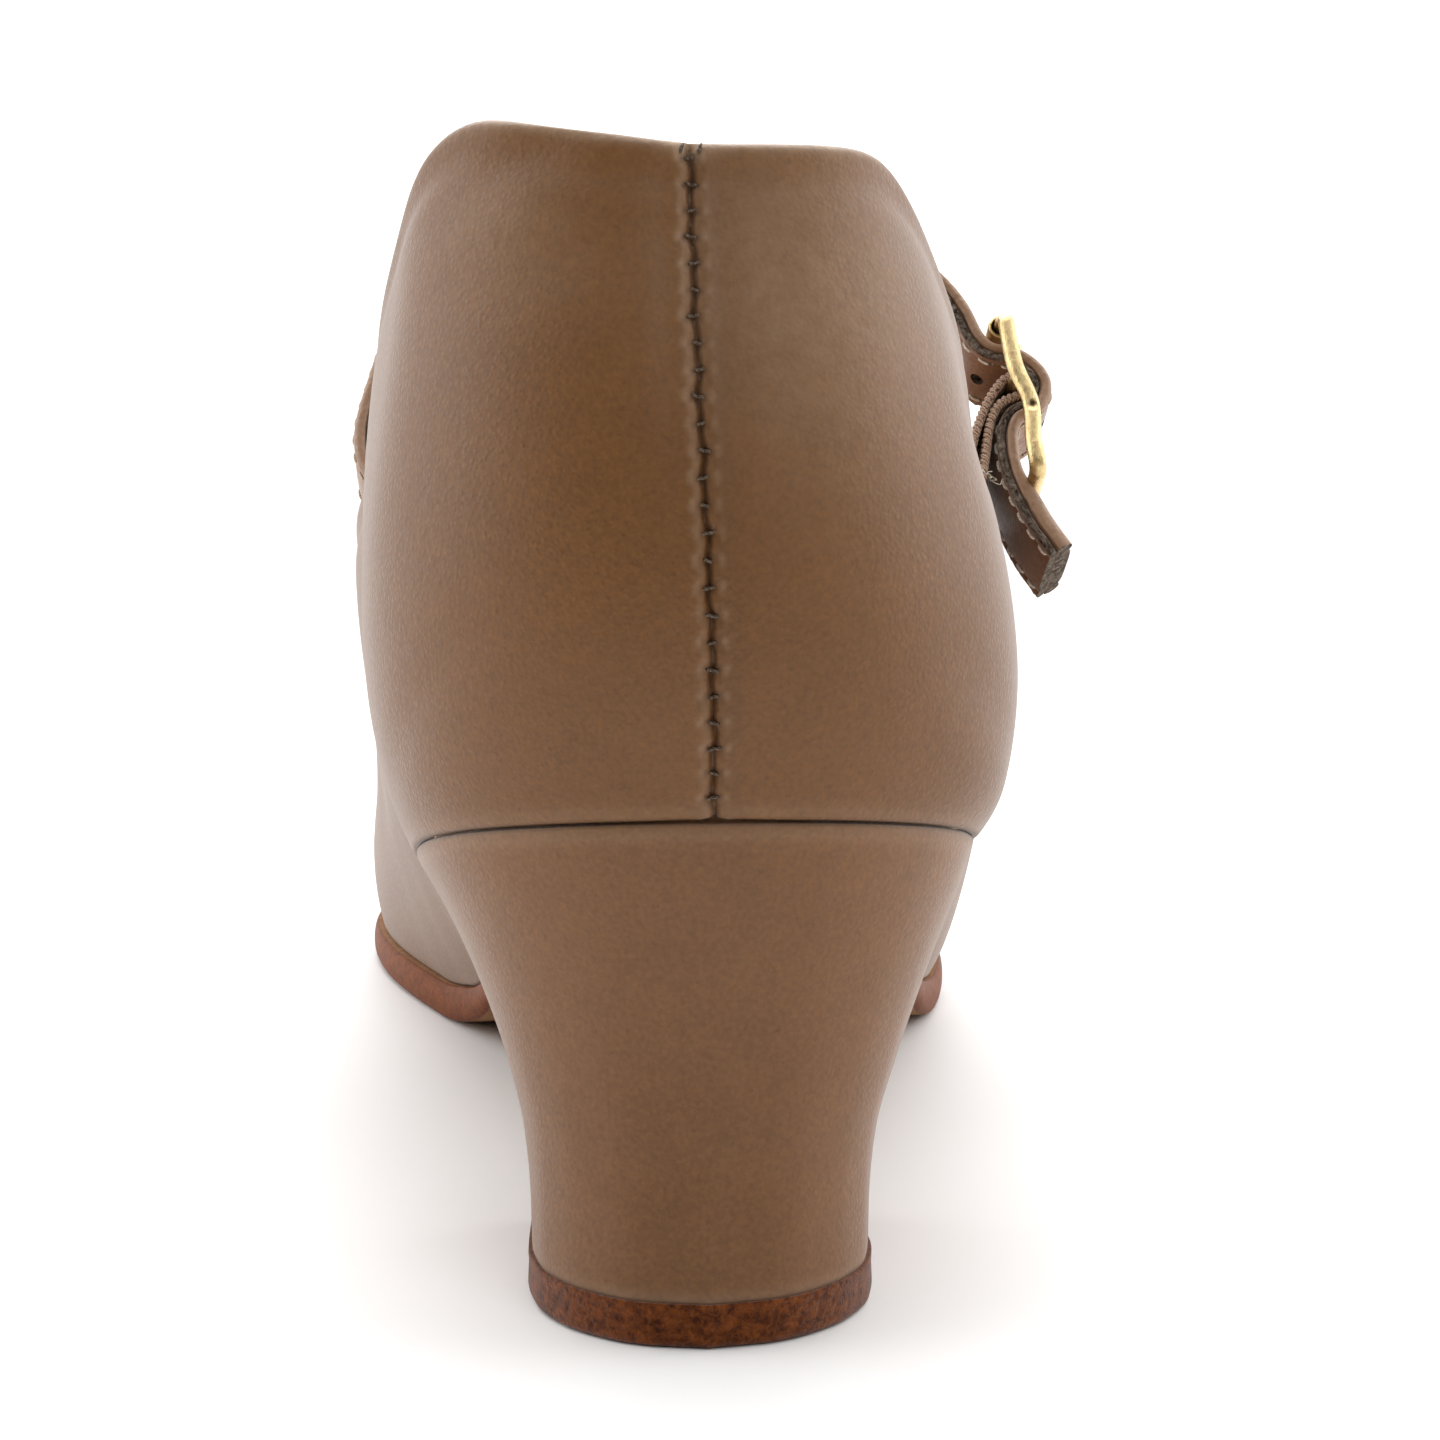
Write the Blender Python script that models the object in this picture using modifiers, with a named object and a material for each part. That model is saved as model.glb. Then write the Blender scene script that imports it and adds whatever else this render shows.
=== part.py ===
"""Character shoe, right foot, women's size 38, with a 44 mm block heel.

Axes: +Y points to the toe, +X to the outer (lateral) side, +Z up.
Origin: the middle of the top lift's face on the floor.
"""
import math

import bmesh
import bpy
import numpy as np
from mathutils import Matrix, Vector

# Driving dimensions of the finished shoe, in metres
LENGTH = 0.240
BALL_WIDTH = 0.080
HEEL_HEIGHT = 0.0448
INSTEP_HEIGHT = 0.0550
UPPER_WALL = 0.0019
SOLE_THICKNESS = 0.0045
WAIST_THICKNESS = 0.0030
SOLE_MARGIN = 0.0012
INSOLE_THICKNESS = 0.0018
INSOLE_CLEARANCE = 0.0008
LIFT_THICKNESS = 0.0038
GAP = 0.0003
MM = 0.001

# The base last that the tables are drawn on, in millimetres, and its grades to the sizes above
BASE_LENGTH = 240.0
BASE_BALL_WIDTH = 80.0
BASE_HEEL_HEIGHT = 44.8
BASE_INSTEP_HEIGHT = 55.0
GRADE_LENGTH = LENGTH / (BASE_LENGTH * MM)
GRADE_WIDTH = BALL_WIDTH / (BASE_BALL_WIDTH * MM)
GRADE_HEEL = HEEL_HEIGHT / (BASE_HEEL_HEIGHT * MM)
GRADE_INSTEP = INSTEP_HEIGHT / (BASE_INSTEP_HEIGHT * MM)
# Distance from the back of the counter to the middle of the top lift, on the base last
ORIGIN_ALONG = 22.5

# Seat line, the surface that the foot stands on: height above the floor along the shoe
SEAT_ROWS = (
    # along, height
    (0.0, 45.5), (15.0, 42.3), (30.0, 38.7), (45.0, 34.6), (60.0, 29.4),
    (75.0, 23.2), (90.0, 16.4), (104.0, 10.6), (116.0, 6.5), (128.0, 4.8),
    (178.0, 4.8), (195.0, 6.3), (215.0, 9.8), (242.0, 15.4),
)

# Sections of the upper. Each runs from the feather edge to the topline as one cubic curve.
# foot and top are its ends. swell and rise set its first handle, out and up from the foot.
# lean_x, lean_y and fall set its last handle, from the top.
SECTION_COLUMNS = ("foot_x", "foot_y", "top_x", "top_y", "top_z",
                   "swell", "rise", "lean_x", "lean_y", "fall")
BACK_SECTION = (0.3, 3.5, -1.3, 7.5, 99.8, 8.0, 18.0, 0.0, -4.5, 20.0)
LATERAL_SECTIONS = (
    (7.5, 4.3, 5.6, 8.3, 99.8, 8.0, 18.0, 0.8, -4.3, 20.0),
    (13.6, 7.0, 12.0, 11.8, 100.0, 8.5, 17.5, 2.0, -3.7, 19.0),
    (19.8, 12.5, 15.8, 17.0, 99.3, 9.0, 17.0, 3.4, -2.6, 18.0),
    (24.2, 20.5, 18.7, 22.8, 96.8, 10.0, 16.0, 4.5, -1.0, 17.0),
    (26.2, 31.0, 21.8, 31.0, 93.4, 10.5, 15.0, 5.0, 0.0, 16.0),
    (26.3, 43.0, 25.0, 40.0, 89.4, 11.0, 14.0, 5.0, 0.0, 15.0),
    (26.6, 56.0, 27.8, 49.5, 84.8, 11.0, 13.5, 4.5, 0.0, 14.0),
    (27.4, 70.0, 30.6, 60.5, 78.4, 11.0, 13.0, 4.0, 0.0, 13.0),
    (28.9, 85.0, 34.2, 73.0, 72.4, 10.3, 13.0, 3.3, 1.0, 12.0),
    (31.0, 100.0, 37.8, 86.0, 67.2, 9.2, 13.0, 2.6, 2.0, 11.0),
    (34.0, 115.0, 38.8, 101.0, 62.0, 9.0, 13.0, 3.5, 3.0, 11.0),
    (37.6, 130.0, 37.2, 117.0, 57.0, 7.0, 13.0, 5.0, 5.0, 11.0),
    (40.0, 145.0, 32.7, 132.0, 53.0, 5.0, 14.0, 8.0, 8.0, 11.0),
    (40.6, 160.0, 26.6, 144.0, 50.4, 4.0, 15.0, 11.0, 13.0, 11.0),
    (39.3, 175.0, 20.3, 151.6, 49.2, 3.5, 15.0, 13.0, 18.0, 11.0),
    (35.7, 190.0, 14.3, 156.2, 48.6, 3.0, 15.0, 13.0, 24.0, 12.0),
    (30.4, 205.0, 8.8, 158.7, 48.4, 2.5, 14.0, 10.5, 31.0, 13.0),
    (23.4, 218.0, 4.6, 159.8, 48.3, 2.0, 14.5, 7.5, 37.0, 13.8),
    (13.8, 230.0, 1.0, 160.2, 48.3, 2.0, 14.2, 4.5, 40.0, 14.4),
)
TOE_SECTION = (-2.0, 238.6, -2.3, 160.3, 48.3, 2.0, 14.0, 0.0, 41.0, 14.5)
MEDIAL_SECTIONS = (
    (-7.0, 4.3, -7.6, 8.0, 100.5, 8.0, 18.0, -0.4, -4.4, 20.0),
    (-13.1, 7.0, -13.6, 10.7, 101.4, 8.0, 18.0, -1.2, -4.0, 19.5),
    (-19.1, 12.5, -18.5, 15.2, 102.1, 8.0, 17.5, -2.4, -3.0, 19.0),
    (-23.3, 20.5, -22.0, 20.2, 100.2, 8.0, 17.0, -3.2, -1.5, 18.0),
    (-25.4, 31.0, -24.7, 27.2, 95.8, 8.0, 16.0, -3.4, -0.5, 17.0),
    (-25.8, 43.0, -27.2, 36.0, 90.8, 8.0, 15.0, -3.2, 0.0, 16.0),
    (-24.7, 56.0, -28.9, 46.5, 86.4, 8.5, 14.0, -3.0, 0.0, 15.0),
    (-22.4, 70.0, -30.3, 59.0, 79.8, 9.5, 14.0, -2.8, 0.0, 14.0),
    (-20.6, 85.0, -31.9, 72.0, 73.1, 10.5, 14.0, -2.5, 0.0, 13.0),
    (-20.5, 100.0, -34.3, 86.0, 68.4, 11.0, 14.0, -2.2, 1.0, 12.0),
    (-23.0, 115.0, -35.1, 100.5, 63.2, 10.0, 14.0, -2.5, 2.0, 12.0),
    (-27.9, 130.0, -33.8, 115.5, 58.4, 8.0, 14.5, -4.0, 4.0, 12.0),
    (-33.2, 145.0, -30.6, 130.0, 54.0, 6.0, 15.5, -7.0, 7.0, 11.0),
    (-36.9, 160.0, -26.0, 142.0, 51.0, 5.0, 17.0, -9.5, 11.0, 10.5),
    (-38.3, 175.0, -20.7, 150.5, 49.5, 4.2, 17.0, -12.0, 16.0, 10.5),
    (-36.9, 190.0, -15.3, 155.6, 48.8, 3.2, 16.5, -13.0, 22.0, 11.0),
    (-32.9, 205.0, -10.7, 158.5, 48.5, 2.5, 15.5, -11.0, 29.0, 12.0),
    (-26.8, 218.0, -7.4, 159.8, 48.4, 2.0, 15.0, -8.5, 36.0, 13.4),
    (-17.8, 230.0, -4.8, 160.2, 48.3, 2.0, 14.4, -4.0, 40.0, 14.4),
)
UPPER_STATIONS = 84
UPPER_STEPS = 12
FOOT_WEIGHT = 0.65
EDGE_SAMPLES = 720
# Two faces that meet at more than this angle keep a sharp edge
SHARP_ANGLE = math.radians(35.0)

# Outsole edge. depth runs from the top face, 0, to the floor face, 1
SOLE_EDGE_ROWS = (
    # depth, inset
    (0.0, 0.0), (0.35, -0.25), (0.72, -0.2), (1.0, 0.8),
)
# How far the sole has spread from its narrow waist to its full margin
SOLE_SPREAD_ROWS = (
    # along, share
    (57.0, 0.0), (85.0, 0.25), (140.0, 1.0), (240.0, 1.0),
)
# The waist's thin leather ends, and the full thickness begins
SOLE_THIN_END = 100.0
SOLE_FULL_START = 126.0
# Rings on the flat spot, the number of free rings and the least distance between the two
SOLE_FLAT = (130.0, 146.0, 162.0, 176.0)
SOLE_RINGS = 30
SOLE_RING_SPACING = 1.5
SOLE_TOE_TUCK = 0.02
WAIST_INSET = 0.6
INSOLE_RINGS = 30
INSOLE_END = 0.3

# Heel block: how its outline shrinks from the seat (drop 0) to the top lift (drop 1)
HEEL_ROWS = (
    # drop, medial half width, lateral half width, back, breast
    (0.00, 25.8, 26.6, 3.5, 57.0),
    (0.12, 23.3, 24.8, 4.1, 53.0),
    (0.25, 21.0, 22.6, 4.9, 49.3),
    (0.40, 18.8, 20.3, 5.7, 46.0),
    (0.55, 17.0, 18.2, 6.1, 43.5),
    (0.70, 15.7, 16.4, 6.0, 42.0),
    (0.85, 15.1, 15.6, 5.3, 41.1),
    (1.00, 14.9, 15.3, 4.5, 40.6),
)
HEEL_LEVELS = (0.0, 0.06, 0.14, 0.24, 0.36, 0.5, 0.64, 0.78, 0.9, 1.0)
HEEL_RINGS = 13
HEEL_BACK_WIDTH = 1.0
LIFT_BACK = 4.3
LIFT_BREAST = 40.8
LIFT_MEDIAL = 15.2
LIFT_LATERAL = 15.6
# Half width of the D-shaped lift as a share of its widest, from its back, 0, to its breast, 1
LIFT_OUTLINE = (
    # share of the length, share of the half width
    (0.0, 0.0), (0.03, 0.36), (0.08, 0.58), (0.17, 0.80), (0.3, 0.95), (0.45, 1.0),
    (0.7, 0.985), (1.0, 0.92),
)
LIFT_EDGE_ROWS = (
    # height, inset
    (LIFT_THICKNESS / MM, 0.0), (0.5, -0.1), (0.0, 0.3),
)

# The strap lies in one leaning plane: across is +X, up_strap leans forward from the vertical
STRAP_LEAN = math.radians(34.0)
STRAP_PLANE_ALONG = 88.0
STRAP_PLANE_HEIGHT = 66.0
STRAP_WIDTH = 10.4
STRAP_THICKNESS = 2.6
STRAP_EASE = 0.5
STRAP_ROUTE = (
    # across, up_strap, on the middle of the strap's thickness
    (-28.0, -14.0), (-29.3, -7.5), (-30.3, -1.6), (-31.3, 2.0), (-33.1, 5.2), (-33.9, 9.0),
    (-33.6, 12.5), (-32.6, 17.0), (-30.9, 23.5), (-27.4, 31.0), (-21.0, 38.0),
    (-12.0, 42.6), (0.0, 44.6), (12.0, 43.6), (22.0, 40.2), (29.5, 35.6),
    (34.2, 30.4), (36.2, 26.4), (37.3, 23.2), (38.9, 21.4), (41.2, 20.8),
    (43.3, 19.4), (44.5, 17.1), (44.1, 14.8), (42.6, 13.2), (41.2, 12.4),
    (40.2, 10.8), (39.8, 8.0), (39.9, 4.6), (40.6, 1.0), (41.9, -2.6), (43.9, -6.4),
)
STRAP_SAMPLES = 96

# Buckle: sizes in millimetres, places across and up the strap's plane
BUCKLE_SIDE = (
    # across, up_strap, of the bowed side rail from the top bar to the bottom bar
    (40.5, 24.5), (40.7, 20.0), (41.2, 16.4), (42.2, 12.6), (42.5, 9.0), (42.7, 5.0), (43.4, 1.0),
)
BUCKLE_HALF_WIDTH = 7.4
BUCKLE_WIRE_RADIUS = 1.0
BUCKLE_CORNER = 1.6
# How far the corner's first and last points go along the rail and out from the bar's end
BUCKLE_CORNER_RISE = 0.3
BUCKLE_CORNER_REACH = 0.65
RAIL_SAMPLES = 15
MIDDLE_BAR = (41.2, 16.4)
MIDDLE_BAR_RADIUS = 0.7
ROLLER_RADII = (1.3, 1.65)
ROLLER_LENGTH = 10.4
PRONG_RING_RADII = (1.0, 1.6)
PRONG_RING_LENGTH = 1.8
PRONG_RADIUS = 0.55
PRONG_ROUTE = ((42.2, 17.4), (42.7, 19.5), (43.2, 22.2), (43.2, 25.6))
PRONG_SAMPLES = 9
PRONG_HOLE_RADIUS = 1.0
PRONG_HOLE_DEPTH = 6.0
# Where the hole lies between the prong's second and third point
PRONG_HOLE_SHARE = 0.4
RING_SEGMENTS = 16
RING_EASE = 0.15

# Elastic: a flat band folded round the middle bar, both ends sewn inside the quarter
ELASTIC_WIDTH = 9.0
ELASTIC_THICKNESS = 1.0
ELASTIC_ROUTE = (
    (32.4, -10.0), (33.2, -2.0), (34.5, 4.0), (35.9, 9.0), (37.6, 13.4), (39.5, 16.6),
    (41.0, 17.8), (42.4, 17.1), (42.5, 15.8), (41.3, 15.0), (39.7, 14.2),
    (38.0, 11.8), (37.0, 9.0), (35.7, 4.0), (34.4, -2.0), (33.6, -10.0),
)
ELASTIC_SAMPLES = 44
ELASTIC_EASE = 0.25
# Opening at the fold for the prong's ring: its place, its size in the plane and its width
ELASTIC_SLOT_PLACE = (41.8, 16.8)
ELASTIC_SLOT_SIZE = 5.2
ELASTIC_SLOT_WIDTH = 2.6


# Collections and materials

def clear_scene():
    """Empty the file before the shoe is made."""
    for item in list(bpy.data.objects):
        bpy.data.objects.remove(item, do_unlink=True)


def make_collection(name):
    collection = bpy.data.collections.new(name)
    bpy.context.scene.collection.children.link(collection)
    return collection


def finish(name, colour, roughness, metallic=0.0):
    """A Principled material in one colour."""
    material = bpy.data.materials.new(name)
    material.use_nodes = True
    shader = material.node_tree.nodes["Principled BSDF"]
    shader.inputs["Base Color"].default_value = (*colour, 1.0)
    shader.inputs["Roughness"].default_value = roughness
    shader.inputs["Metallic"].default_value = metallic
    material.diffuse_color = (*colour, 1.0)
    return material


# Smooth curves through table rows

def steady_curve(table_x, table_y, x):
    """Read a table with a curve that never overshoots its rows."""
    table_x = np.asarray(table_x, float)
    table_y = np.asarray(table_y, float)
    step = np.diff(table_x)
    slope = np.diff(table_y) / step
    tangent = np.zeros_like(table_y)
    tangent[0] = slope[0]
    tangent[-1] = slope[-1]
    same_way = slope[:-1] * slope[1:] > 0
    both = slope[:-1] + slope[1:]
    tangent[1:-1][same_way] = 2 * slope[:-1][same_way] * slope[1:][same_way] / both[same_way]
    x = np.clip(np.asarray(x, float), table_x[0], table_x[-1])
    row = np.clip(np.searchsorted(table_x, x, side="right") - 1, 0, len(step) - 1)
    share = (x - table_x[row]) / step[row]
    rest = 1 - share
    start = table_y[row] * (1 + 2 * share) * rest ** 2 + tangent[row] * step[row] * share * rest ** 2
    end_y = table_y[row + 1] * (1 + 2 * rest) * share ** 2
    end_tangent = tangent[row + 1] * step[row] * rest * share ** 2
    return start + end_y - end_tangent


def spline(places, rows, wanted, closed):
    """Cubic spline through rows at the given places, read at the wanted places."""
    places = np.asarray(places, float)
    rows = np.asarray(rows, float)
    count = len(places) - 1
    step = np.diff(places)
    slope = np.diff(rows, axis=0) / step[:, None]
    size = count if closed else count + 1
    matrix = np.zeros((size, size))
    target = np.zeros((size, rows.shape[1]))
    first = 0 if closed else 1
    for i in range(first, count):
        before = (i - 1) % count
        after = (i + 1) % size
        matrix[i, (i - 1) % size] += step[before]
        matrix[i, i] += 2 * (step[before] + step[i])
        matrix[i, after] += step[i]
        target[i] = 6 * (slope[i] - slope[before])
    if not closed:
        matrix[0, 0] = 1.0
        matrix[count, count] = 1.0
    bend = np.linalg.solve(matrix, target)
    if closed:
        bend = np.vstack([bend, bend[:1]])
    wanted = np.asarray(wanted, float)
    row = np.clip(np.searchsorted(places, wanted, side="right") - 1, 0, count - 1)
    size_here = step[row][:, None]
    after = (wanted - places[row])[:, None]
    left = size_here - after
    return (bend[row] * left ** 3 / (6 * size_here) + bend[row + 1] * after ** 3 / (6 * size_here)
            + (rows[row] / size_here - bend[row] * size_here / 6) * left
            + (rows[row + 1] / size_here - bend[row + 1] * size_here / 6) * after)


def chord_places(points):
    """Distance along a chain of points, from 0 at its first."""
    points = np.asarray(points, float)
    lengths = np.linalg.norm(np.diff(points, axis=0), axis=1)
    return np.concatenate([[0.0], np.cumsum(lengths)])


# The last: seat line and feather edge

def seat_height(along):
    """Height of the seat line, in millimetres, at a place along the base last."""
    table = np.array(SEAT_ROWS)
    return steady_curve(table[:, 0], table[:, 1], along) * GRADE_HEEL


def graded(across, along, height):
    """A point of the base last, in millimetres, as metres on the shoe."""
    x = across * GRADE_WIDTH * MM
    y = (along - ORIGIN_ALONG) * GRADE_LENGTH * MM
    return Vector((float(x), float(y), float(height * MM)))


def section_loop():
    """All sections of the upper in order: back, lateral side, toe, medial side."""
    rows = [BACK_SECTION, *LATERAL_SECTIONS, TOE_SECTION, *reversed(MEDIAL_SECTIONS), BACK_SECTION]
    rows = np.array(rows)
    foot_step = np.linalg.norm(np.diff(rows[:, 0:2], axis=0), axis=1)
    top_step = np.linalg.norm(np.diff(rows[:, 2:5], axis=0), axis=1)
    steps = FOOT_WEIGHT * foot_step + (1 - FOOT_WEIGHT) * top_step
    places = np.concatenate([[0.0], np.cumsum(steps)])
    return places, rows


def sections_at(places_wanted):
    places, rows = section_loop()
    wanted = np.mod(places_wanted, places[-1])
    values = spline(places, rows, wanted, closed=True)
    return {name: values[:, i] for i, name in enumerate(SECTION_COLUMNS)}


def loop_length():
    return section_loop()[0][-1]


def foot_normals(section):
    """Outward normals of the feather edge in plan; the loop runs back, lateral, toe, medial."""
    run_x = np.roll(section["foot_x"], -1) - np.roll(section["foot_x"], 1)
    run_y = np.roll(section["foot_y"], -1) - np.roll(section["foot_y"], 1)
    size = np.hypot(run_x, run_y)
    return run_y / size, -run_x / size


def upper_grid(stations, steps):
    """Outer surface of the upper: steps + 1 rows of points, feather edge to topline."""
    where = np.linspace(0.0, loop_length(), stations, endpoint=False)
    section = sections_at(where)
    normal_x, normal_y = foot_normals(section)
    seat = seat_height(section["foot_y"])
    top_height = seat + (section["top_z"] - seat / GRADE_HEEL) * GRADE_INSTEP
    foot = np.stack([section["foot_x"], section["foot_y"], seat], axis=1)
    top = np.stack([section["top_x"], section["top_y"], top_height], axis=1)
    swell = section["swell"]
    first = foot + np.stack([normal_x * swell, normal_y * swell, section["rise"]], axis=1)
    last = top + np.stack([section["lean_x"], section["lean_y"], -section["fall"]], axis=1)
    rows = []
    for step in range(steps + 1):
        share = step / steps
        rest = 1 - share
        rows.append(rest ** 3 * foot + 3 * rest ** 2 * share * first
                    + 3 * rest * share ** 2 * last + share ** 3 * top)
    return np.array(rows)


def feather_edge(margin):
    """The foot's outline moved out by a margin: its medial and its lateral side, back to toe."""
    where = np.linspace(0.0, loop_length(), EDGE_SAMPLES, endpoint=False)
    section = sections_at(where)
    normal_x, normal_y = foot_normals(section)
    across = section["foot_x"] + normal_x * margin
    along = section["foot_y"] + normal_y * margin
    loop = np.stack([across, along], axis=1)
    loop = np.roll(loop, -int(np.argmin(along)), axis=0)
    toe = int(np.argmax(loop[:, 1]))
    lateral = loop[:toe + 1]
    medial = np.vstack([loop[toe:], loop[:1]])[::-1]
    return medial, lateral


def edge_span(margin):
    """Back and toe of the outline moved out by a margin."""
    _, lateral = feather_edge(margin)
    return lateral[0, 1], lateral[-1, 1]


def edge_width(along, margin):
    """Medial and lateral edge, at places along the last, of the outline moved out by a margin."""
    medial, lateral = feather_edge(margin)
    return (np.interp(along, medial[:, 1], medial[:, 0]),
            np.interp(along, lateral[:, 1], lateral[:, 0]))


# Mesh builders

def new_object(name, mesh, material, collection):
    mesh.materials.append(material)
    item = bpy.data.objects.new(name, mesh)
    collection.objects.link(item)
    return item


def mesh_from_bmesh(name, built):
    bmesh.ops.recalc_face_normals(built, faces=built.faces)
    mesh = bpy.data.meshes.new(name)
    built.to_mesh(mesh)
    built.free()
    mesh.shade_smooth()
    mesh.set_sharp_from_angle(angle=SHARP_ANGLE)
    return mesh


def add_ring(built, points):
    return [built.verts.new(point) for point in points]


def join_rings(built, lower, upper, closed=True):
    """Quads between two rings of the same count."""
    count = len(lower) if closed else len(lower) - 1
    for i in range(count):
        after = (i + 1) % len(lower)
        built.faces.new((lower[i], lower[after], upper[after], upper[i]))


def rung_cap(built, ring):
    """Close a ring whose points pair up across the shoe, with one quad from rung to rung."""
    count = len(ring)
    for i in range(count // 2 - 1):
        near = (ring[i], ring[count - 1 - i])
        far = (ring[i + 1], ring[count - 2 - i])
        built.faces.new((near[0], far[0], far[1], near[1]))


def rung_solid(name, levels):
    """A solid through levels, each a ring of points that pair up across the shoe."""
    built = bmesh.new()
    rings = [add_ring(built, level) for level in levels]
    for lower, upper in zip(rings, rings[1:]):
        join_rings(built, lower, upper)
    rung_cap(built, rings[0])
    rung_cap(built, rings[-1])
    return mesh_from_bmesh(name, built)


def paired_ring(along, medial, lateral, height):
    """Ring from the last place on the medial side to the back, and out again on the lateral side."""
    left = [graded(medial[i], along[i], height[i]) for i in reversed(range(len(along)))]
    right = [graded(lateral[i], along[i], height[i]) for i in range(len(along))]
    return left + right


# Upper

def make_upper(collection):
    """The hollow leather shell: an open surface with the wall's thickness inside it."""
    grid = upper_grid(UPPER_STATIONS, UPPER_STEPS)
    built = bmesh.new()
    rings = [add_ring(built, [graded(*point) for point in row]) for row in grid]
    for lower, upper in zip(rings, rings[1:]):
        join_rings(built, lower, upper)
    mesh = bpy.data.meshes.new("upper")
    built.to_mesh(mesh)
    built.free()
    mesh.shade_smooth()
    leather = finish("tan_leather", (0.213, 0.124, 0.072), 0.55)
    upper = new_object("upper", mesh, leather, collection)
    wall = upper.modifiers.new("wall", "SOLIDIFY")
    wall.thickness = UPPER_WALL
    wall.offset = -1.0
    wall.use_even_offset = True
    wall.use_rim = True
    return upper


# Sole, insole, heel and top lift

def cosine_places(start, end, count):
    """Places that crowd towards both ends, where an outline turns."""
    turn = np.linspace(0.0, math.pi, count)
    return start + (end - start) * (1 - np.cos(turn)) / 2


def sole_places(start, end, count):
    """Places along the sole that crowd towards the toe."""
    turn = np.linspace(0.0, math.pi / 2, count)
    return start + (end - start) * np.sin(turn)


def make_outsole(collection):
    """Leather sole from the heel breast to the toe, flat on the floor under the ball."""
    breast = HEEL_ROWS[0][4] + GAP / MM
    margin = SOLE_MARGIN / MM
    levels = []
    toe = edge_span(margin)[1]
    free = sole_places(breast, toe, SOLE_RINGS)
    flat = np.array(SOLE_FLAT)
    nearest = np.min(np.abs(free[:, None] - flat[None, :]), axis=1)
    places = np.sort(np.concatenate([free[nearest > SOLE_RING_SPACING], flat]))
    spread = np.array(SOLE_SPREAD_ROWS)
    for depth, inset in SOLE_EDGE_ROWS:
        ahead = np.maximum(places - flat[-1], 0.0) / (toe - flat[-1])
        along = places + ahead * (edge_span(margin - inset)[1] - SOLE_TOE_TUCK - toe)
        narrow = edge_width(along, -WAIST_INSET - inset)
        wide = edge_width(along, margin - inset)
        open_share = steady_curve(spread[:, 0], spread[:, 1], along)
        left = narrow[0] + (wide[0] - narrow[0]) * open_share
        right = narrow[1] + (wide[1] - narrow[1]) * open_share
        thickness = steady_curve((breast, SOLE_THIN_END, SOLE_FULL_START, toe),
                                 (WAIST_THICKNESS, WAIST_THICKNESS, SOLE_THICKNESS,
                                  SOLE_THICKNESS), along) / MM
        height = seat_height(along) - GAP / MM - thickness * depth
        levels.append(paired_ring(along, left, right, height))
    mesh = rung_solid("outsole", levels)
    colour = finish("sole_leather", (0.27, 0.105, 0.05), 0.6)
    return new_object("outsole", mesh, colour, collection)


def make_insole(collection):
    """Sock board inside the upper, a hair's gap from its wall."""
    inset = (UPPER_WALL + INSOLE_CLEARANCE) / MM
    start, end = edge_span(-inset)
    along = cosine_places(start + INSOLE_END, end - INSOLE_END, INSOLE_RINGS)
    left, right = edge_width(along, -inset)
    levels = []
    for lift in (0.0, INSOLE_THICKNESS / MM):
        levels.append(paired_ring(along, left, right, seat_height(along) + lift))
    mesh = rung_solid("insole", levels)
    colour = finish("sock_leather", (0.45, 0.32, 0.22), 0.7)
    return new_object("insole", mesh, colour, collection)


def lift_share(share):
    """Half width of the D-shaped lift, as a share of its widest, from back to breast."""
    table = np.array(LIFT_OUTLINE)
    return steady_curve(table[:, 0], table[:, 1], share)


def heel_ring(drop):
    """One level of the heel block between the seat line and the top lift."""
    table = np.array(HEEL_ROWS)
    medial_half, lateral_half, back, breast = (
        float(steady_curve(table[:, 0], table[:, i], drop)) for i in range(1, 5))
    turn = np.linspace(0.0, math.pi / 2, HEEL_RINGS)
    share = 1 - np.cos(turn)
    share = share / share[-1]
    seat_back, seat_breast = HEEL_ROWS[0][3], HEEL_ROWS[0][4]
    seat_along = seat_back + share * (seat_breast - seat_back)
    seat_medial, seat_lateral = edge_width(seat_along, 0.0)
    low = lift_share(share)
    medial_share = (1 - drop) * (-seat_medial / HEEL_ROWS[0][1]) + drop * low
    lateral_share = (1 - drop) * (seat_lateral / HEEL_ROWS[0][2]) + drop * low
    along = back + share * (breast - back)
    top = seat_height(seat_along) - GAP / MM
    bottom = LIFT_THICKNESS / MM + GAP / MM
    height = top + (bottom - top) * drop
    left = -medial_share * medial_half
    right = lateral_share * lateral_half
    right = np.maximum(right, left + HEEL_BACK_WIDTH)
    return paired_ring(along, left, right, height)


def make_heel(collection):
    """Covered block heel: wide under the seat, hollowed at its sides and back, D-shaped below."""
    mesh = rung_solid("heel", [heel_ring(drop) for drop in HEEL_LEVELS])
    colour = finish("heel_leather", (0.23, 0.14, 0.09), 0.55)
    return new_object("heel", mesh, colour, collection)


def make_top_lift(collection):
    """Wear piece under the heel, its lower edge eased."""
    turn = np.linspace(0.0, math.pi / 2, HEEL_RINGS)
    share = 1 - np.cos(turn)
    along = LIFT_BACK + share * (LIFT_BREAST - LIFT_BACK)
    half = lift_share(share)
    levels = []
    for height, inset in LIFT_EDGE_ROWS:
        left = np.minimum(-half * LIFT_MEDIAL + inset, -HEEL_BACK_WIDTH / 2)
        right = np.maximum(half * LIFT_LATERAL - inset, HEEL_BACK_WIDTH / 2)
        levels.append(paired_ring(along, left, right, np.full_like(along, height)))
    mesh = rung_solid("top_lift", levels)
    colour = finish("lift_leather", (0.16, 0.055, 0.03), 0.75)
    return new_object("top_lift", mesh, colour, collection)


# Strap, elastic and buckle, all laid out in the strap's leaning plane

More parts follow.
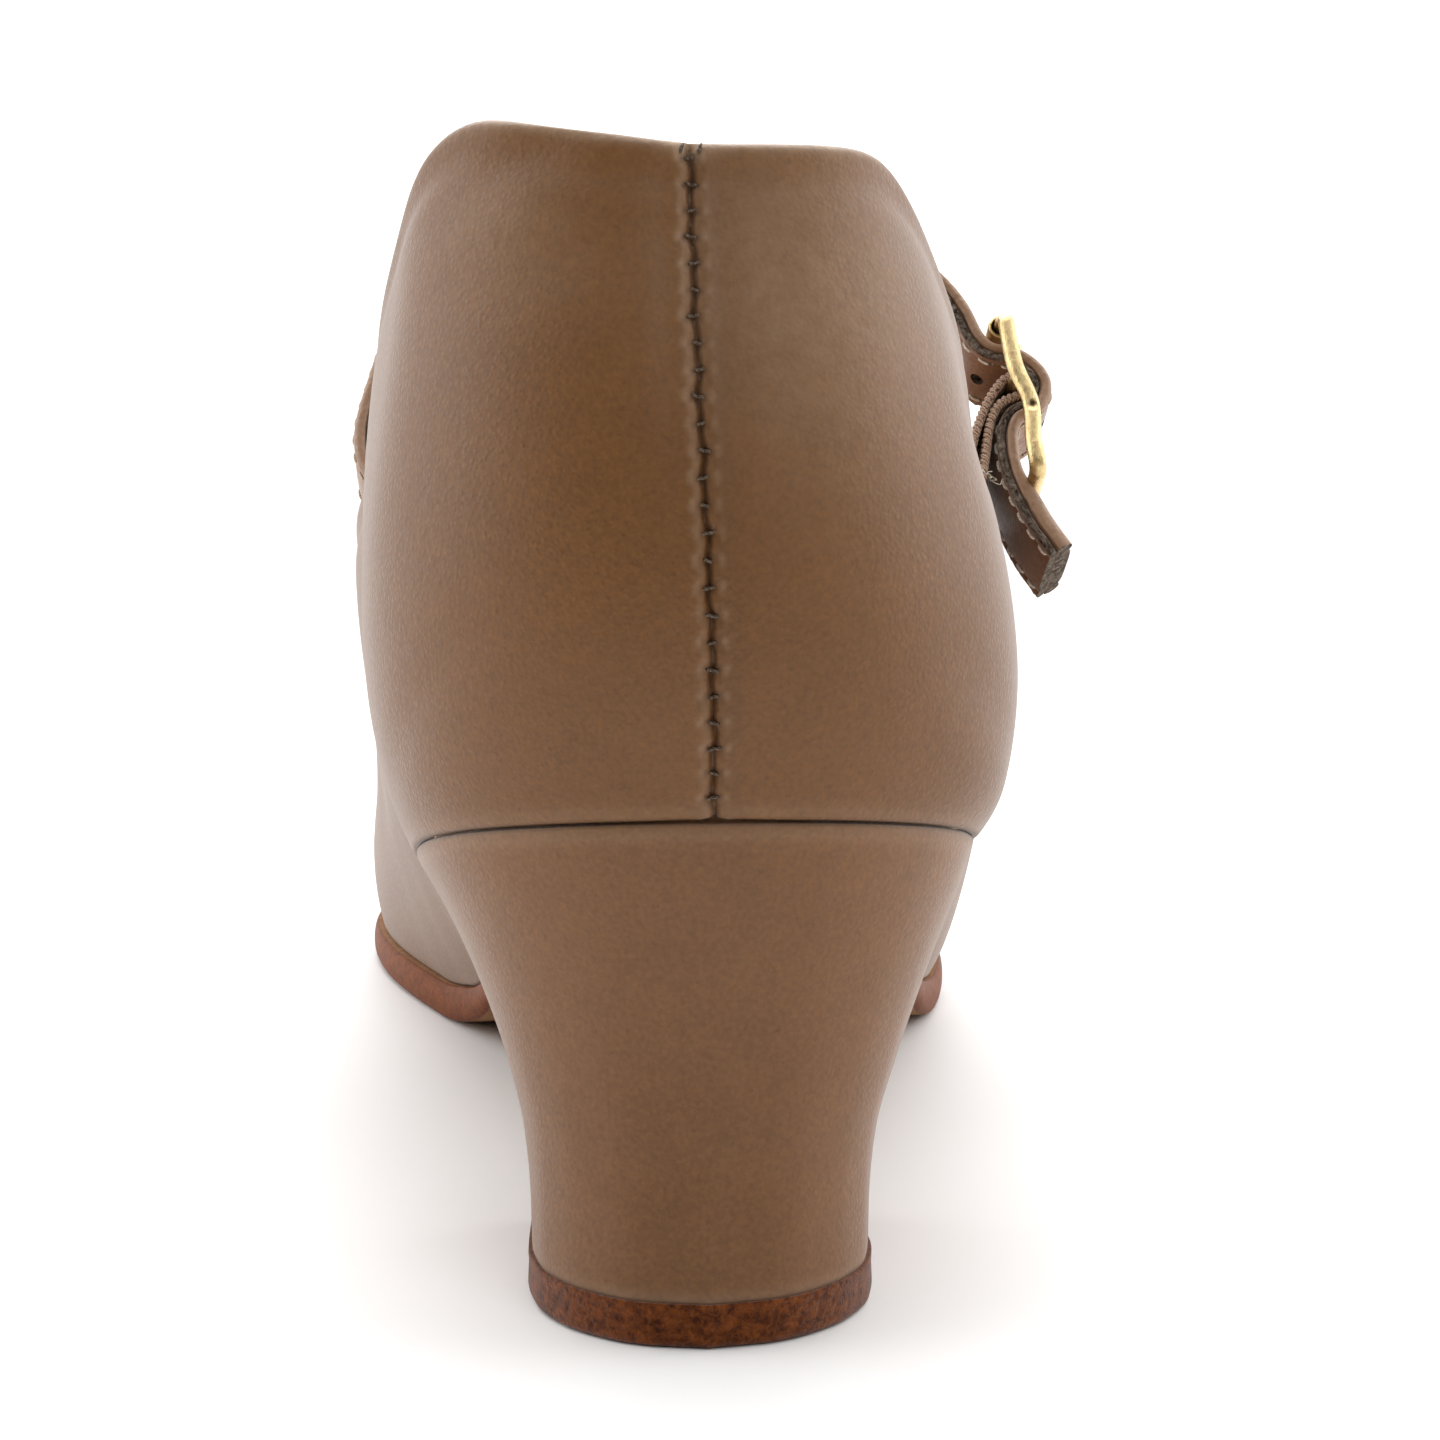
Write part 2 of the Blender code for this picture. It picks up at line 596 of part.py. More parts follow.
def strap_point(across, up_strap, sideways):
    """A point in the strap's plane; sideways runs across the strap's width, forward and down."""
    along = STRAP_PLANE_ALONG + up_strap * math.sin(STRAP_LEAN) + sideways * math.cos(STRAP_LEAN)
    height = STRAP_PLANE_HEIGHT + up_strap * math.cos(STRAP_LEAN) - sideways * math.sin(STRAP_LEAN)
    return graded(across, along, height)


def band_mesh(name, route, samples, width, thickness, edge):
    """A flat band swept along a route in the strap's plane, its long edges eased."""
    route = np.array(route)
    places = chord_places(route)
    path = spline(places, route, np.linspace(0.0, places[-1], samples), closed=False)
    run = np.gradient(path, axis=0)
    run = run / np.linalg.norm(run, axis=1)[:, None]
    out = np.stack([-run[:, 1], run[:, 0]], axis=1)
    half, side = thickness / 2, width / 2
    corner = ((-half, -side + edge), (-half + edge, -side), (half - edge, -side), (half, -side + edge),
              (half, side - edge), (half - edge, side), (-half + edge, side), (-half, side - edge))
    built = bmesh.new()
    rings = []
    for centre, normal in zip(path, out):
        points = [strap_point(centre[0] + normal[0] * lift, centre[1] + normal[1] * lift, sideways)
                  for lift, sideways in corner]
        rings.append(add_ring(built, points))
    for lower, upper in zip(rings, rings[1:]):
        join_rings(built, lower, upper)
    built.faces.new(rings[0])
    built.faces.new(rings[-1])
    return mesh_from_bmesh(name, built)


def strap_frame():
    """Axes of the strap's plane: across, up the strap, sideways."""
    across = Vector((1, 0, 0))
    sideways = Vector((0, math.cos(STRAP_LEAN), -math.sin(STRAP_LEAN)))
    up_strap = Vector((0, math.sin(STRAP_LEAN), math.cos(STRAP_LEAN)))
    return across, up_strap, sideways


def add_cutter(cutters, item, target, name):
    item.hide_render = True
    item.display_type = "WIRE"
    for collection in list(item.users_collection):
        collection.objects.unlink(item)
    cutters.objects.link(item)
    cut = target.modifiers.new(name, "BOOLEAN")
    cut.operation = "DIFFERENCE"
    cut.solver = "EXACT"
    cut.object = item


def make_strap(collection, cutters):
    mesh = band_mesh("strap", STRAP_ROUTE, STRAP_SAMPLES, STRAP_WIDTH, STRAP_THICKNESS, STRAP_EASE)
    colour = finish("strap_leather", (0.25, 0.14, 0.075), 0.5)
    strap = new_object("strap", mesh, colour, collection)
    bpy.ops.mesh.primitive_cylinder_add(vertices=RING_SEGMENTS, radius=PRONG_HOLE_RADIUS * MM,
                                        depth=PRONG_HOLE_DEPTH * MM)
    hole = bpy.context.object
    hole.name = "prong_hole"
    lower, upper = Vector(PRONG_ROUTE[1]), Vector(PRONG_ROUTE[2])
    middle = lower.lerp(upper, PRONG_HOLE_SHARE)
    across, up_strap, _ = strap_frame()
    rise = (across * (upper - lower).x + up_strap * (upper - lower).y).normalized()
    hole.rotation_mode = "QUATERNION"
    hole.rotation_quaternion = rise.to_track_quat("Z", "Y")
    hole.location = strap_point(middle.x, middle.y, 0.0)
    add_cutter(cutters, hole, strap, "prong_hole")
    return strap


def make_elastic(collection, cutters):
    mesh = band_mesh("elastic_loop", ELASTIC_ROUTE, ELASTIC_SAMPLES, ELASTIC_WIDTH,
                     ELASTIC_THICKNESS, ELASTIC_EASE)
    colour = finish("ribbed_elastic", (0.32, 0.2, 0.14), 0.85)
    elastic = new_object("elastic_loop", mesh, colour, collection)
    bpy.ops.mesh.primitive_cube_add(size=1.0)
    slot = bpy.context.object
    slot.name = "prong_slot"
    across, up_strap, sideways = strap_frame()
    turn = Matrix((across, up_strap, -sideways)).transposed().to_4x4()
    place = Matrix.Translation(strap_point(*ELASTIC_SLOT_PLACE, 0.0))
    size = Matrix.Diagonal((ELASTIC_SLOT_SIZE * MM, ELASTIC_SLOT_SIZE * MM,
                            ELASTIC_SLOT_WIDTH * MM, 1.0))
    slot.data.transform(place @ turn @ size)
    add_cutter(cutters, slot, elastic, "prong_slot")
    return elastic


def tube_object(name, points, radius, closed, collection, material, rings=2):
    """A round wire through points, made a mesh so that it can be joined."""
    curve = bpy.data.curves.new(name, "CURVE")
    curve.dimensions = "3D"
    curve.bevel_depth = radius * MM
    curve.bevel_resolution = rings
    curve.use_fill_caps = True
    wire = curve.splines.new("POLY")
    wire.points.add(len(points) - 1)
    for point, place in zip(wire.points, points):
        point.co = (*place, 1.0)
    wire.use_cyclic_u = closed
    item = bpy.data.objects.new(name, curve)
    collection.objects.link(item)
    bpy.context.view_layer.update()
    seen = item.evaluated_get(bpy.context.evaluated_depsgraph_get())
    mesh = bpy.data.meshes.new_from_object(seen)
    welded = bmesh.new()
    welded.from_mesh(mesh)
    bmesh.ops.remove_doubles(welded, verts=welded.verts, dist=0.00001)
    bmesh.ops.recalc_face_normals(welded, faces=welded.faces)
    welded.to_mesh(mesh)
    welded.free()
    mesh.shade_smooth()
    mesh.materials.clear()
    mesh.materials.append(material)
    solid = bpy.data.objects.new(name + "_mesh", mesh)
    solid.matrix_world = item.matrix_world
    collection.objects.link(solid)
    bpy.data.objects.remove(item, do_unlink=True)
    solid.name = name
    return solid


def join_solids(base, added):
    """Union of two meshes, applied, so that they are one body."""
    union = base.modifiers.new("union", "BOOLEAN")
    union.operation = "UNION"
    union.solver = "EXACT"
    union.object = added
    bpy.context.view_layer.update()
    seen = base.evaluated_get(bpy.context.evaluated_depsgraph_get())
    mesh = bpy.data.meshes.new_from_object(seen)
    base.modifiers.clear()
    base.data = mesh
    bpy.data.objects.remove(added, do_unlink=True)


def buckle_loop():
    """Closed route of the frame's wire: down the rear rail, forward, up the front rail, back."""
    side = np.array(BUCKLE_SIDE)
    places = chord_places(side)
    rail = spline(places, side, np.linspace(0.0, places[-1], RAIL_SAMPLES), closed=False)
    rail_top, rail_foot = rail[0], rail[-1]
    inner = rail[1:-1]
    reach = BUCKLE_HALF_WIDTH - BUCKLE_CORNER
    rear = [strap_point(x, s, -BUCKLE_HALF_WIDTH) for x, s in inner]
    front = [strap_point(x, s, BUCKLE_HALF_WIDTH) for x, s in reversed(inner)]
    low = rail_foot + (rail[-2] - rail_foot) * BUCKLE_CORNER_RISE
    high = rail_top + (rail[1] - rail_top) * BUCKLE_CORNER_RISE
    soft = reach + BUCKLE_CORNER * BUCKLE_CORNER_REACH
    foot = [strap_point(*low, -soft), strap_point(*rail_foot, -reach),
            strap_point(*rail_foot, reach), strap_point(*low, soft)]
    head = [strap_point(*high, soft), strap_point(*rail_top, reach),
            strap_point(*rail_top, -reach), strap_point(*high, -soft)]
    return rear + foot + front + head


def make_buckle_frame(collection, gold):
    frame = tube_object("buckle_frame", buckle_loop(), BUCKLE_WIRE_RADIUS, True, collection, gold)
    ends = [strap_point(*MIDDLE_BAR, side * BUCKLE_HALF_WIDTH) for side in (-1, 1)]
    bar = tube_object("middle_bar", ends, MIDDLE_BAR_RADIUS, False, collection, gold)
    join_solids(frame, bar)
    return frame


def turned_ring(name, centre, radii, length, collection, material):
    """A short tube whose axis runs sideways across the strap."""
    inner, outer = radii
    half = length / 2
    ease = RING_EASE
    profile = ((outer, half - ease), (outer - ease, half), (inner, half), (inner, -half),
               (outer - ease, -half), (outer, -half + ease))
    across, up_strap, sideways = strap_frame()
    middle = strap_point(*centre, 0.0)
    built = bmesh.new()
    rings = []
    for i in range(RING_SEGMENTS):
        turn = 2 * math.pi * i / RING_SEGMENTS
        spoke = across * math.cos(turn) + up_strap * math.sin(turn)
        rings.append(add_ring(built, [middle + (spoke * radius + sideways * side) * MM
                                      for radius, side in profile]))
    for i in range(RING_SEGMENTS):
        join_rings(built, rings[i], rings[(i + 1) % RING_SEGMENTS])
    mesh = mesh_from_bmesh(name, built)
    return new_object(name, mesh, material, collection)


def make_prong(collection, gold):
    ring = turned_ring("buckle_prong", MIDDLE_BAR, PRONG_RING_RADII, PRONG_RING_LENGTH,
                       collection, gold)
    route = np.array(PRONG_ROUTE)
    places = chord_places(route)
    path = spline(places, route, np.linspace(0.0, places[-1], PRONG_SAMPLES), closed=False)
    points = [strap_point(x, s, 0.0) for x, s in path]
    pin = tube_object("prong_pin", points, PRONG_RADIUS, False, collection, gold)
    join_solids(ring, pin)
    return ring


def build_shoe():
    clear_scene()
    shoe = make_collection("character_shoe")
    cutters = make_collection("cutters")
    make_upper(shoe)
    make_outsole(shoe)
    make_insole(shoe)
    make_heel(shoe)
    make_top_lift(shoe)
    make_strap(shoe, cutters)
    make_elastic(shoe, cutters)
    gold = finish("pale_gold", (0.83, 0.66, 0.36), 0.28, metallic=1.0)
    make_buckle_frame(shoe, gold)
    turned_ring("buckle_roller", BUCKLE_SIDE[0], ROLLER_RADII, ROLLER_LENGTH, shoe, gold)
    make_prong(shoe, gold)


build_shoe()
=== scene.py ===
import math

import bmesh
import bpy
import numpy as np
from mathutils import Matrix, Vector


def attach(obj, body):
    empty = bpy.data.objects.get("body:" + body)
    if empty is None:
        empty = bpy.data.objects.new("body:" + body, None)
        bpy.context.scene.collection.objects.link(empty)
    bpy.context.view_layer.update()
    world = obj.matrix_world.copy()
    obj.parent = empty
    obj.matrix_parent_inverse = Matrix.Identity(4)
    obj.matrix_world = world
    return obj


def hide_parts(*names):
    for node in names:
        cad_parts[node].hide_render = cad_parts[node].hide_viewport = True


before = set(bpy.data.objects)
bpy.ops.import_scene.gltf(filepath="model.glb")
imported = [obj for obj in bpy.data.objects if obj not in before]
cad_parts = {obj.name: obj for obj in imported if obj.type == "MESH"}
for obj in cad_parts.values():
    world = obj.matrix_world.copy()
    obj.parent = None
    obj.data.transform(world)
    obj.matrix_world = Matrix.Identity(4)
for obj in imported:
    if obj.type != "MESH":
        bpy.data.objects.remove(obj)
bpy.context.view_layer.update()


# View and light
# The shoe is seen from behind, a little from its inner side and level with its strap. It stands
# on a pale floor in a white light tent, which is dimmer on the side that it is viewed from.
CAMERA_PLACE = (-0.012385, -0.218358, 0.075523)
CAMERA_TURN = math.radians(3.80)
CAMERA_DIP = math.radians(6.38)
CAMERA_LENS = 61.97
CAMERA_SENSOR = 36.0
CAMERA_NEAR = 0.01
FLOOR_REACH = 3.0
FLOOR_DROP = 0.00005
FLOOR_COLOUR = (0.90, 0.90, 0.895)
FLOOR_ROUGHNESS = 0.6
TENT_STRENGTH = 1.42
TENT_DIM_SIDE = 0.05
TENT_DIM_FROM = -0.60
TENT_DIM_TO = 0.28
TENT_TOP_GAIN = 0.45
SIDE_LIGHT_PLACE = (0.62, 0.10, 0.30)
SIDE_LIGHT_SIZE = 0.5
SIDE_LIGHT_POWER = 1.6
TOP_LIGHT_PLACE = (0.0, 0.42, 0.72)
TOP_LIGHT_SIZE = 0.7
TOP_LIGHT_POWER = 4.0
FILL_LIGHT_PLACE = (0.26, -0.50, 0.56)
FILL_LIGHT_SIZE = 0.40
FILL_LIGHT_POWER = 1.15
LIGHT_TARGET = (0.0, 0.05, 0.05)

scene = bpy.context.scene
scene.view_settings.view_transform = "Standard"
camera_data = bpy.data.cameras.new("camera")
camera_data.lens = CAMERA_LENS
camera_data.sensor_width = CAMERA_SENSOR
camera_data.clip_start = CAMERA_NEAR
camera = bpy.data.objects.new("camera", camera_data)
scene.collection.objects.link(camera)
camera.location = CAMERA_PLACE
camera.rotation_euler = (math.pi / 2 - CAMERA_DIP, 0.0, -CAMERA_TURN)
scene.camera = camera


def add_node(tree, kind, **settings):
    """A shader node with its settings."""
    node = tree.nodes.new("ShaderNode" + kind)
    for name, value in settings.items():
        setattr(node, name, value)
    return node


def feed(tree, socket, value):
    """Give a socket a number, a colour or another node's output."""
    if isinstance(value, bpy.types.NodeSocket):
        tree.links.new(value, socket)
    else:
        socket.default_value = value


def calculate(tree, operation, *values):
    """One step of arithmetic on numbers or outputs."""
    node = add_node(tree, "Math", operation=operation)
    for socket, value in zip(node.inputs, values):
        feed(tree, socket, value)
    return node.outputs[0]


def remap(tree, value, low, high, to_low, to_high, smooth=False):
    """Read a value between low and high as one between to_low and to_high."""
    node = add_node(tree, "MapRange", interpolation_type="SMOOTHSTEP" if smooth else "LINEAR")
    for socket, number in zip(node.inputs, (value, low, high, to_low, to_high)):
        feed(tree, socket, number)
    return node.outputs[0]


def mix_colours(tree, share, first, second, how="MIX"):
    """Two colours mixed by a share, through the colour sockets of the Mix node."""
    node = add_node(tree, "Mix", data_type="RGBA", blend_type=how)
    feed(tree, node.inputs[0], share)
    for socket, colour in ((node.inputs[6], first), (node.inputs[7], second)):
        feed(tree, socket, (*colour, 1.0) if isinstance(colour, tuple) else colour)
    return node.outputs[2]


def new_material(name, roughness, metallic=0.0, specular=0.5):
    """A material with its Principled shader, ready for colour and bump."""
    material = bpy.data.materials.new(name)
    material.use_nodes = True
    tree = material.node_tree
    shader = tree.nodes["Principled BSDF"]
    feed(tree, shader.inputs["Roughness"], roughness)
    feed(tree, shader.inputs["Specular IOR Level"], specular)
    feed(tree, shader.inputs["Metallic"], metallic)
    return material, tree, shader


floor_mesh = bpy.data.meshes.new("floor")
floor_mesh.from_pydata(
    [(-FLOOR_REACH, -FLOOR_REACH, -FLOOR_DROP), (FLOOR_REACH, -FLOOR_REACH, -FLOOR_DROP),
     (FLOOR_REACH, FLOOR_REACH, -FLOOR_DROP), (-FLOOR_REACH, FLOOR_REACH, -FLOOR_DROP)],
    [], [(0, 1, 2, 3)])
floor = bpy.data.objects.new("floor", floor_mesh)
scene.collection.objects.link(floor)
floor_material, floor_tree, floor_shader = new_material("pale_floor", FLOOR_ROUGHNESS)
feed(floor_tree, floor_shader.inputs["Base Color"], (*FLOOR_COLOUR, 1.0))
floor_mesh.materials.append(floor_material)

world = bpy.data.worlds.new("light_tent")
world.use_nodes = True
scene.world = world
sky = world.node_tree
direction = add_node(sky, "SeparateXYZ")
feed(sky, direction.inputs[0], add_node(sky, "TexCoord").outputs["Generated"])
tent = remap(sky, direction.outputs["Y"], TENT_DIM_FROM, TENT_DIM_TO, TENT_DIM_SIDE, 1.0, smooth=True)
overhead = calculate(sky, "MAXIMUM", direction.outputs["Z"], 0.0)
gain = calculate(sky, "MULTIPLY_ADD", overhead, TENT_TOP_GAIN, 1.0)
tent = calculate(sky, "MULTIPLY", tent, gain)
plain = add_node(sky, "LightPath").outputs["Is Camera Ray"]
background = sky.nodes["Background"]
feed(sky, background.inputs["Color"], (1.0, 1.0, 1.0, 1.0))
feed(sky, background.inputs["Strength"],
     calculate(sky, "MULTIPLY", calculate(sky, "MAXIMUM", tent, plain), TENT_STRENGTH))


def add_light(name, place, size, power):
    """A square soft light that faces the shoe."""
    light = bpy.data.lights.new(name, "AREA")
    light.shape = "SQUARE"
    light.size = size
    light.energy = power
    lamp = bpy.data.objects.new(name, light)
    scene.collection.objects.link(lamp)
    lamp.location = place
    lamp.rotation_mode = "QUATERNION"
    aim = Vector(LIGHT_TARGET) - Vector(place)
    lamp.rotation_quaternion = aim.to_track_quat("-Z", "Y")


for side in (-1, 1):
    place = (side * SIDE_LIGHT_PLACE[0], SIDE_LIGHT_PLACE[1], SIDE_LIGHT_PLACE[2])
    add_light("side_light", place, SIDE_LIGHT_SIZE, SIDE_LIGHT_POWER)
add_light("top_light", TOP_LIGHT_PLACE, TOP_LIGHT_SIZE, TOP_LIGHT_POWER)
add_light("fill_light", FILL_LIGHT_PLACE, FILL_LIGHT_SIZE, FILL_LIGHT_POWER)


# Upper leather
# Two leather quarters that run into the vamp, pulled over the last and cemented under the
# insole. The edge of the collar and throat is folded in, and the back is closed by a seam.
MM = 0.001
ORIGIN_ALONG = 22.5
SEAT_ROWS = (
    # along, height of the seat that the foot stands on
    (0.0, 45.5), (15.0, 42.3), (30.0, 38.7), (45.0, 34.6), (60.0, 29.4),
    (75.0, 23.2), (90.0, 16.4), (104.0, 10.6), (116.0, 6.5), (128.0, 4.8),
    (178.0, 4.8), (195.0, 6.3), (215.0, 9.8), (242.0, 15.4),
)
# Sections of the upper, each one cubic curve from the feather edge to the topline
SECTION_COLUMNS = ("foot_x", "foot_y", "top_x", "top_y", "top_z",
                   "swell", "rise", "lean_x", "lean_y", "fall")
BACK_SECTION = (0.3, 3.5, -1.3, 7.5, 99.8, 8.0, 18.0, 0.0, -4.5, 20.0)
LATERAL_SECTIONS = (
    (7.5, 4.3, 5.6, 8.3, 99.8, 8.0, 18.0, 0.8, -4.3, 20.0),
    (13.6, 7.0, 12.0, 11.8, 100.0, 8.5, 17.5, 2.0, -3.7, 19.0),
    (19.8, 12.5, 15.8, 17.0, 99.3, 9.0, 17.0, 3.4, -2.6, 18.0),
    (24.2, 20.5, 18.7, 22.8, 96.8, 10.0, 16.0, 4.5, -1.0, 17.0),
    (26.2, 31.0, 21.8, 31.0, 93.4, 10.5, 15.0, 5.0, 0.0, 16.0),
    (26.3, 43.0, 25.0, 40.0, 89.4, 11.0, 14.0, 5.0, 0.0, 15.0),
    (26.6, 56.0, 27.8, 49.5, 84.8, 11.0, 13.5, 4.5, 0.0, 14.0),
    (27.4, 70.0, 30.6, 60.5, 78.4, 11.0, 13.0, 4.0, 0.0, 13.0),
    (28.9, 85.0, 34.2, 73.0, 72.4, 10.3, 13.0, 3.3, 1.0, 12.0),
    (31.0, 100.0, 37.8, 86.0, 67.2, 9.2, 13.0, 2.6, 2.0, 11.0),
    (34.0, 115.0, 38.8, 101.0, 62.0, 9.0, 13.0, 3.5, 3.0, 11.0),
    (37.6, 130.0, 37.2, 117.0, 57.0, 7.0, 13.0, 5.0, 5.0, 11.0),
    (40.0, 145.0, 32.7, 132.0, 53.0, 5.0, 14.0, 8.0, 8.0, 11.0),
    (40.6, 160.0, 26.6, 144.0, 50.4, 4.0, 15.0, 11.0, 13.0, 11.0),
    (39.3, 175.0, 20.3, 151.6, 49.2, 3.5, 15.0, 13.0, 18.0, 11.0),
    (35.7, 190.0, 14.3, 156.2, 48.6, 3.0, 15.0, 13.0, 24.0, 12.0),
    (30.4, 205.0, 8.8, 158.7, 48.4, 2.5, 14.0, 10.5, 31.0, 13.0),
    (23.4, 218.0, 4.6, 159.8, 48.3, 2.0, 14.5, 7.5, 37.0, 13.8),
    (13.8, 230.0, 1.0, 160.2, 48.3, 2.0, 14.2, 4.5, 40.0, 14.4),
)
TOE_SECTION = (-2.0, 238.6, -2.3, 160.3, 48.3, 2.0, 14.0, 0.0, 41.0, 14.5)
MEDIAL_SECTIONS = (
    (-7.0, 4.3, -7.6, 8.0, 100.5, 8.0, 18.0, -0.4, -4.4, 20.0),
    (-13.1, 7.0, -13.6, 10.7, 101.4, 8.0, 18.0, -1.2, -4.0, 19.5),
    (-19.1, 12.5, -18.5, 15.2, 102.1, 8.0, 17.5, -2.4, -3.0, 19.0),
    (-23.3, 20.5, -22.0, 20.2, 100.2, 8.0, 17.0, -3.2, -1.5, 18.0),
    (-25.4, 31.0, -24.7, 27.2, 95.8, 8.0, 16.0, -3.4, -0.5, 17.0),
    (-25.8, 43.0, -27.2, 36.0, 90.8, 8.0, 15.0, -3.2, 0.0, 16.0),
    (-24.7, 56.0, -28.9, 46.5, 86.4, 8.5, 14.0, -3.0, 0.0, 15.0),
    (-22.4, 70.0, -30.3, 59.0, 79.8, 9.5, 14.0, -2.8, 0.0, 14.0),
    (-20.6, 85.0, -31.9, 72.0, 73.1, 10.5, 14.0, -2.5, 0.0, 13.0),
    (-20.5, 100.0, -34.3, 86.0, 68.4, 11.0, 14.0, -2.2, 1.0, 12.0),
    (-23.0, 115.0, -35.1, 100.5, 63.2, 10.0, 14.0, -2.5, 2.0, 12.0),
    (-27.9, 130.0, -33.8, 115.5, 58.4, 8.0, 14.5, -4.0, 4.0, 12.0),
    (-33.2, 145.0, -30.6, 130.0, 54.0, 6.0, 15.5, -7.0, 7.0, 11.0),
    (-36.9, 160.0, -26.0, 142.0, 51.0, 5.0, 17.0, -9.5, 11.0, 10.5),
    (-38.3, 175.0, -20.7, 150.5, 49.5, 4.2, 17.0, -12.0, 16.0, 10.5),
    (-36.9, 190.0, -15.3, 155.6, 48.8, 3.2, 16.5, -13.0, 22.0, 11.0),
    (-32.9, 205.0, -10.7, 158.5, 48.5, 2.5, 15.5, -11.0, 29.0, 12.0),
    (-26.8, 218.0, -7.4, 159.8, 48.4, 2.0, 15.0, -8.5, 36.0, 13.4),
    (-17.8, 230.0, -4.8, 160.2, 48.3, 2.0, 14.4, -4.0, 40.0, 14.4),
)
FOOT_WEIGHT = 0.65
WALL = 1.9
SEAM_ZONE = 5.0
SEAM_SPACING = 0.16
STATION_SPACING = 1.35
FOOT_ROWS = (0.0, 0.12, 0.28, 0.5, 0.8, 1.2)
RIM_ROWS = (1.5, 1.1, 0.85, 0.62, 0.42, 0.26, 0.13, 0.04, 0.0)
MIDDLE_ROWS = 96
COLUMN_SAMPLES = 160
SHARP_ANGLE = math.radians(40.0)
FOLD_RADIUS = 0.875
FOLD_DEPTH = 3.6
LEATHER_BACK = 1.05
INNER_ROW_STEP = 12
# Stitched back seam: a groove, the two edges beside it and the dimples of its stitches. Each has
# its depth or height, its place beside the seam unless that is on it, and its half widths.
SEAM_GROOVE = (0.50, 0.27)
SEAM_EDGE = (0.16, 1.15, 0.7)
SEAM_EDGE_LEAST = 0.55
SEAM_EDGE_GAIN = (0.6, 16.0)
SEAM_VALLEY = (0.18, 3.4)
SEAM_STITCH_PITCH = 2.2
SEAM_STITCH_HALF = 0.46
SEAM_HOLE_FROM_SEAM = 0.60
SEAM_DIMPLE = (0.22, 0.28, 0.4)
SEAM_PILLOW = (0.10, 0.85, 0.5)
SEAM_WANDER = (
    # reach, length of the wave, start
    (0.10, 3.3, 0.0), (0.08, 7.6, 1.2),
)
SEAM_TOP_PINCH = (0.55, 1.1, 1.6)
FOOT_TUCK = (0.34, 0.27)
RIM_BEAD = (0.10, 1.0, 0.7)
RIM_TROUGH = (0.22, 3.4, 1.3)
RELIEF_FROM_RIM = 0.6
RELIEF_AT_RIM = 0.25
# Broad hollows and swellings of the quarters. A positive depth is a hollow.
FORM_ROWS = (
    # from the back seam, above the feather edge, turn, half length, half width, depth
    (43.0, 29.0, 90.0, 19.0, 14.0, 0.90),
    (57.0, 44.0, 18.0, 21.0, 7.5, 1.10),
    (34.0, 4.5, 0.0, 12.0, 4.5, -0.65),
    (-28.0, 60.0, 0.0, 15.0, 11.0, -0.85),
    (9.0, 43.0, 90.0, 14.0, 6.5, -0.30),
)
# Creases and ridges of the leather, in the same columns
CREASES = (
    (-10.0, 57.5, 15.0, 9.0, 1.9, 0.48),
    (6.0, 59.0, -6.0, 6.5, 1.7, 0.26),
    (-13.0, 51.0, 8.0, 9.0, 2.4, -0.22),
    (-9.0, 46.5, 12.0, 7.5, 2.0, 0.14),
    (-4.6, 40.0, 88.0, 9.0, 1.5, -0.14),
    (-5.6, 27.0, 92.0, 8.0, 1.8, 0.10),
    (4.4, 37.0, 91.0, 11.0, 1.5, -0.10),
    (6.6, 22.0, 87.0, 10.0, 2.0, 0.08),
    (-30.0, 12.0, 25.0, 12.0, 3.2, 0.18),
    (31.0, 11.0, -25.0, 12.0, 3.2, 0.16),
    (-62.0, 22.0, 60.0, 15.0, 4.5, 0.32),
    (60.0, 22.0, -60.0, 15.0, 4.5, 0.30),
    (-78.0, 14.0, 72.0, 11.0, 3.6, 0.28),
    (80.0, 13.0, -72.0, 11.0, 3.6, 0.26),
    (-92.0, 30.0, 50.0, 10.0, 3.5, 0.16),
    (95.0, 30.0, -50.0, 10.0, 3.5, 0.16),
    (-150.0, 26.0, 30.0, 13.0, 3.2, 0.22),
    (158.0, 25.0, -30.0, 13.0, 3.2, 0.24),
    (-165.0, 30.0, 34.0, 12.0, 3.0, 0.18),
    (172.0, 29.0, -34.0, 12.0, 3.0, 0.20),
)
# Paler patches below the topline: painted light where the quarters turn up towards the light from above
PAINTED_LIGHT_PATCHES = (
    # from the back seam, below the topline, half width, half height, strength
    (9.5, 11.5, 12.0, 12.0, 0.25),
    (-15.0, 10.0, 7.0, 6.0, 0.16),
    (14.0, 26.0, 9.0, 14.0, 0.10),
)
# Painted shade in the seam's groove, under its stitches, in its holes and beside it, and in the groove
# at the foot: strength, place where it has one, half widths
SEAM_DARK = (0.60, 0.27)
STITCH_DARK = (0.35, 0.55)
HOLE_DARK = (0.8, 0.24, 0.22)
SIDE_DARK = (0.18, 1.5, 1.1)
FOOT_DARK = (0.70, 0.24)
DARK_FROM_RIM = 1.5
# Paler leather on its edges, ridges and puckers, in the same order: painted highlights where their
# crests catch the light, with some rubbed wear on the edges
RIM_PALE = (0.75, 0.75)
RIDGE_PALE = (0.14, -0.75, 0.3)
PUCKER_PALE = (0.30, 1.1, 0.38, 0.32)
TOP_PALE = (0.5, 1.8, 1.3)
FOOT_PALE = (0.12, 0.9, 0.8)
LEATHER_COLOUR = (0.141, 0.0562, 0.0120)
LEATHER_DEEP = (0.104, 0.0385, 0.0076)
# Pale colour of rubbed wear and of painted highlights
LEATHER_WORN_AND_LIT = (0.40, 0.28, 0.185)
LEATHER_ROUGHNESS = 0.50
LEATHER_SPECULAR = 0.36
LEATHER_SHEEN = 0.30
SHEEN_ROUGHNESS = 0.35
LEATHER_GRAIN = 0.00048
LEATHER_BUMP = 0.000036
GRAIN_DOME = 0.55
GRAIN_WRINKLE = 0.75
PORE_NOISE = (0.66, 0.74)
PORE_SHARE = 0.5
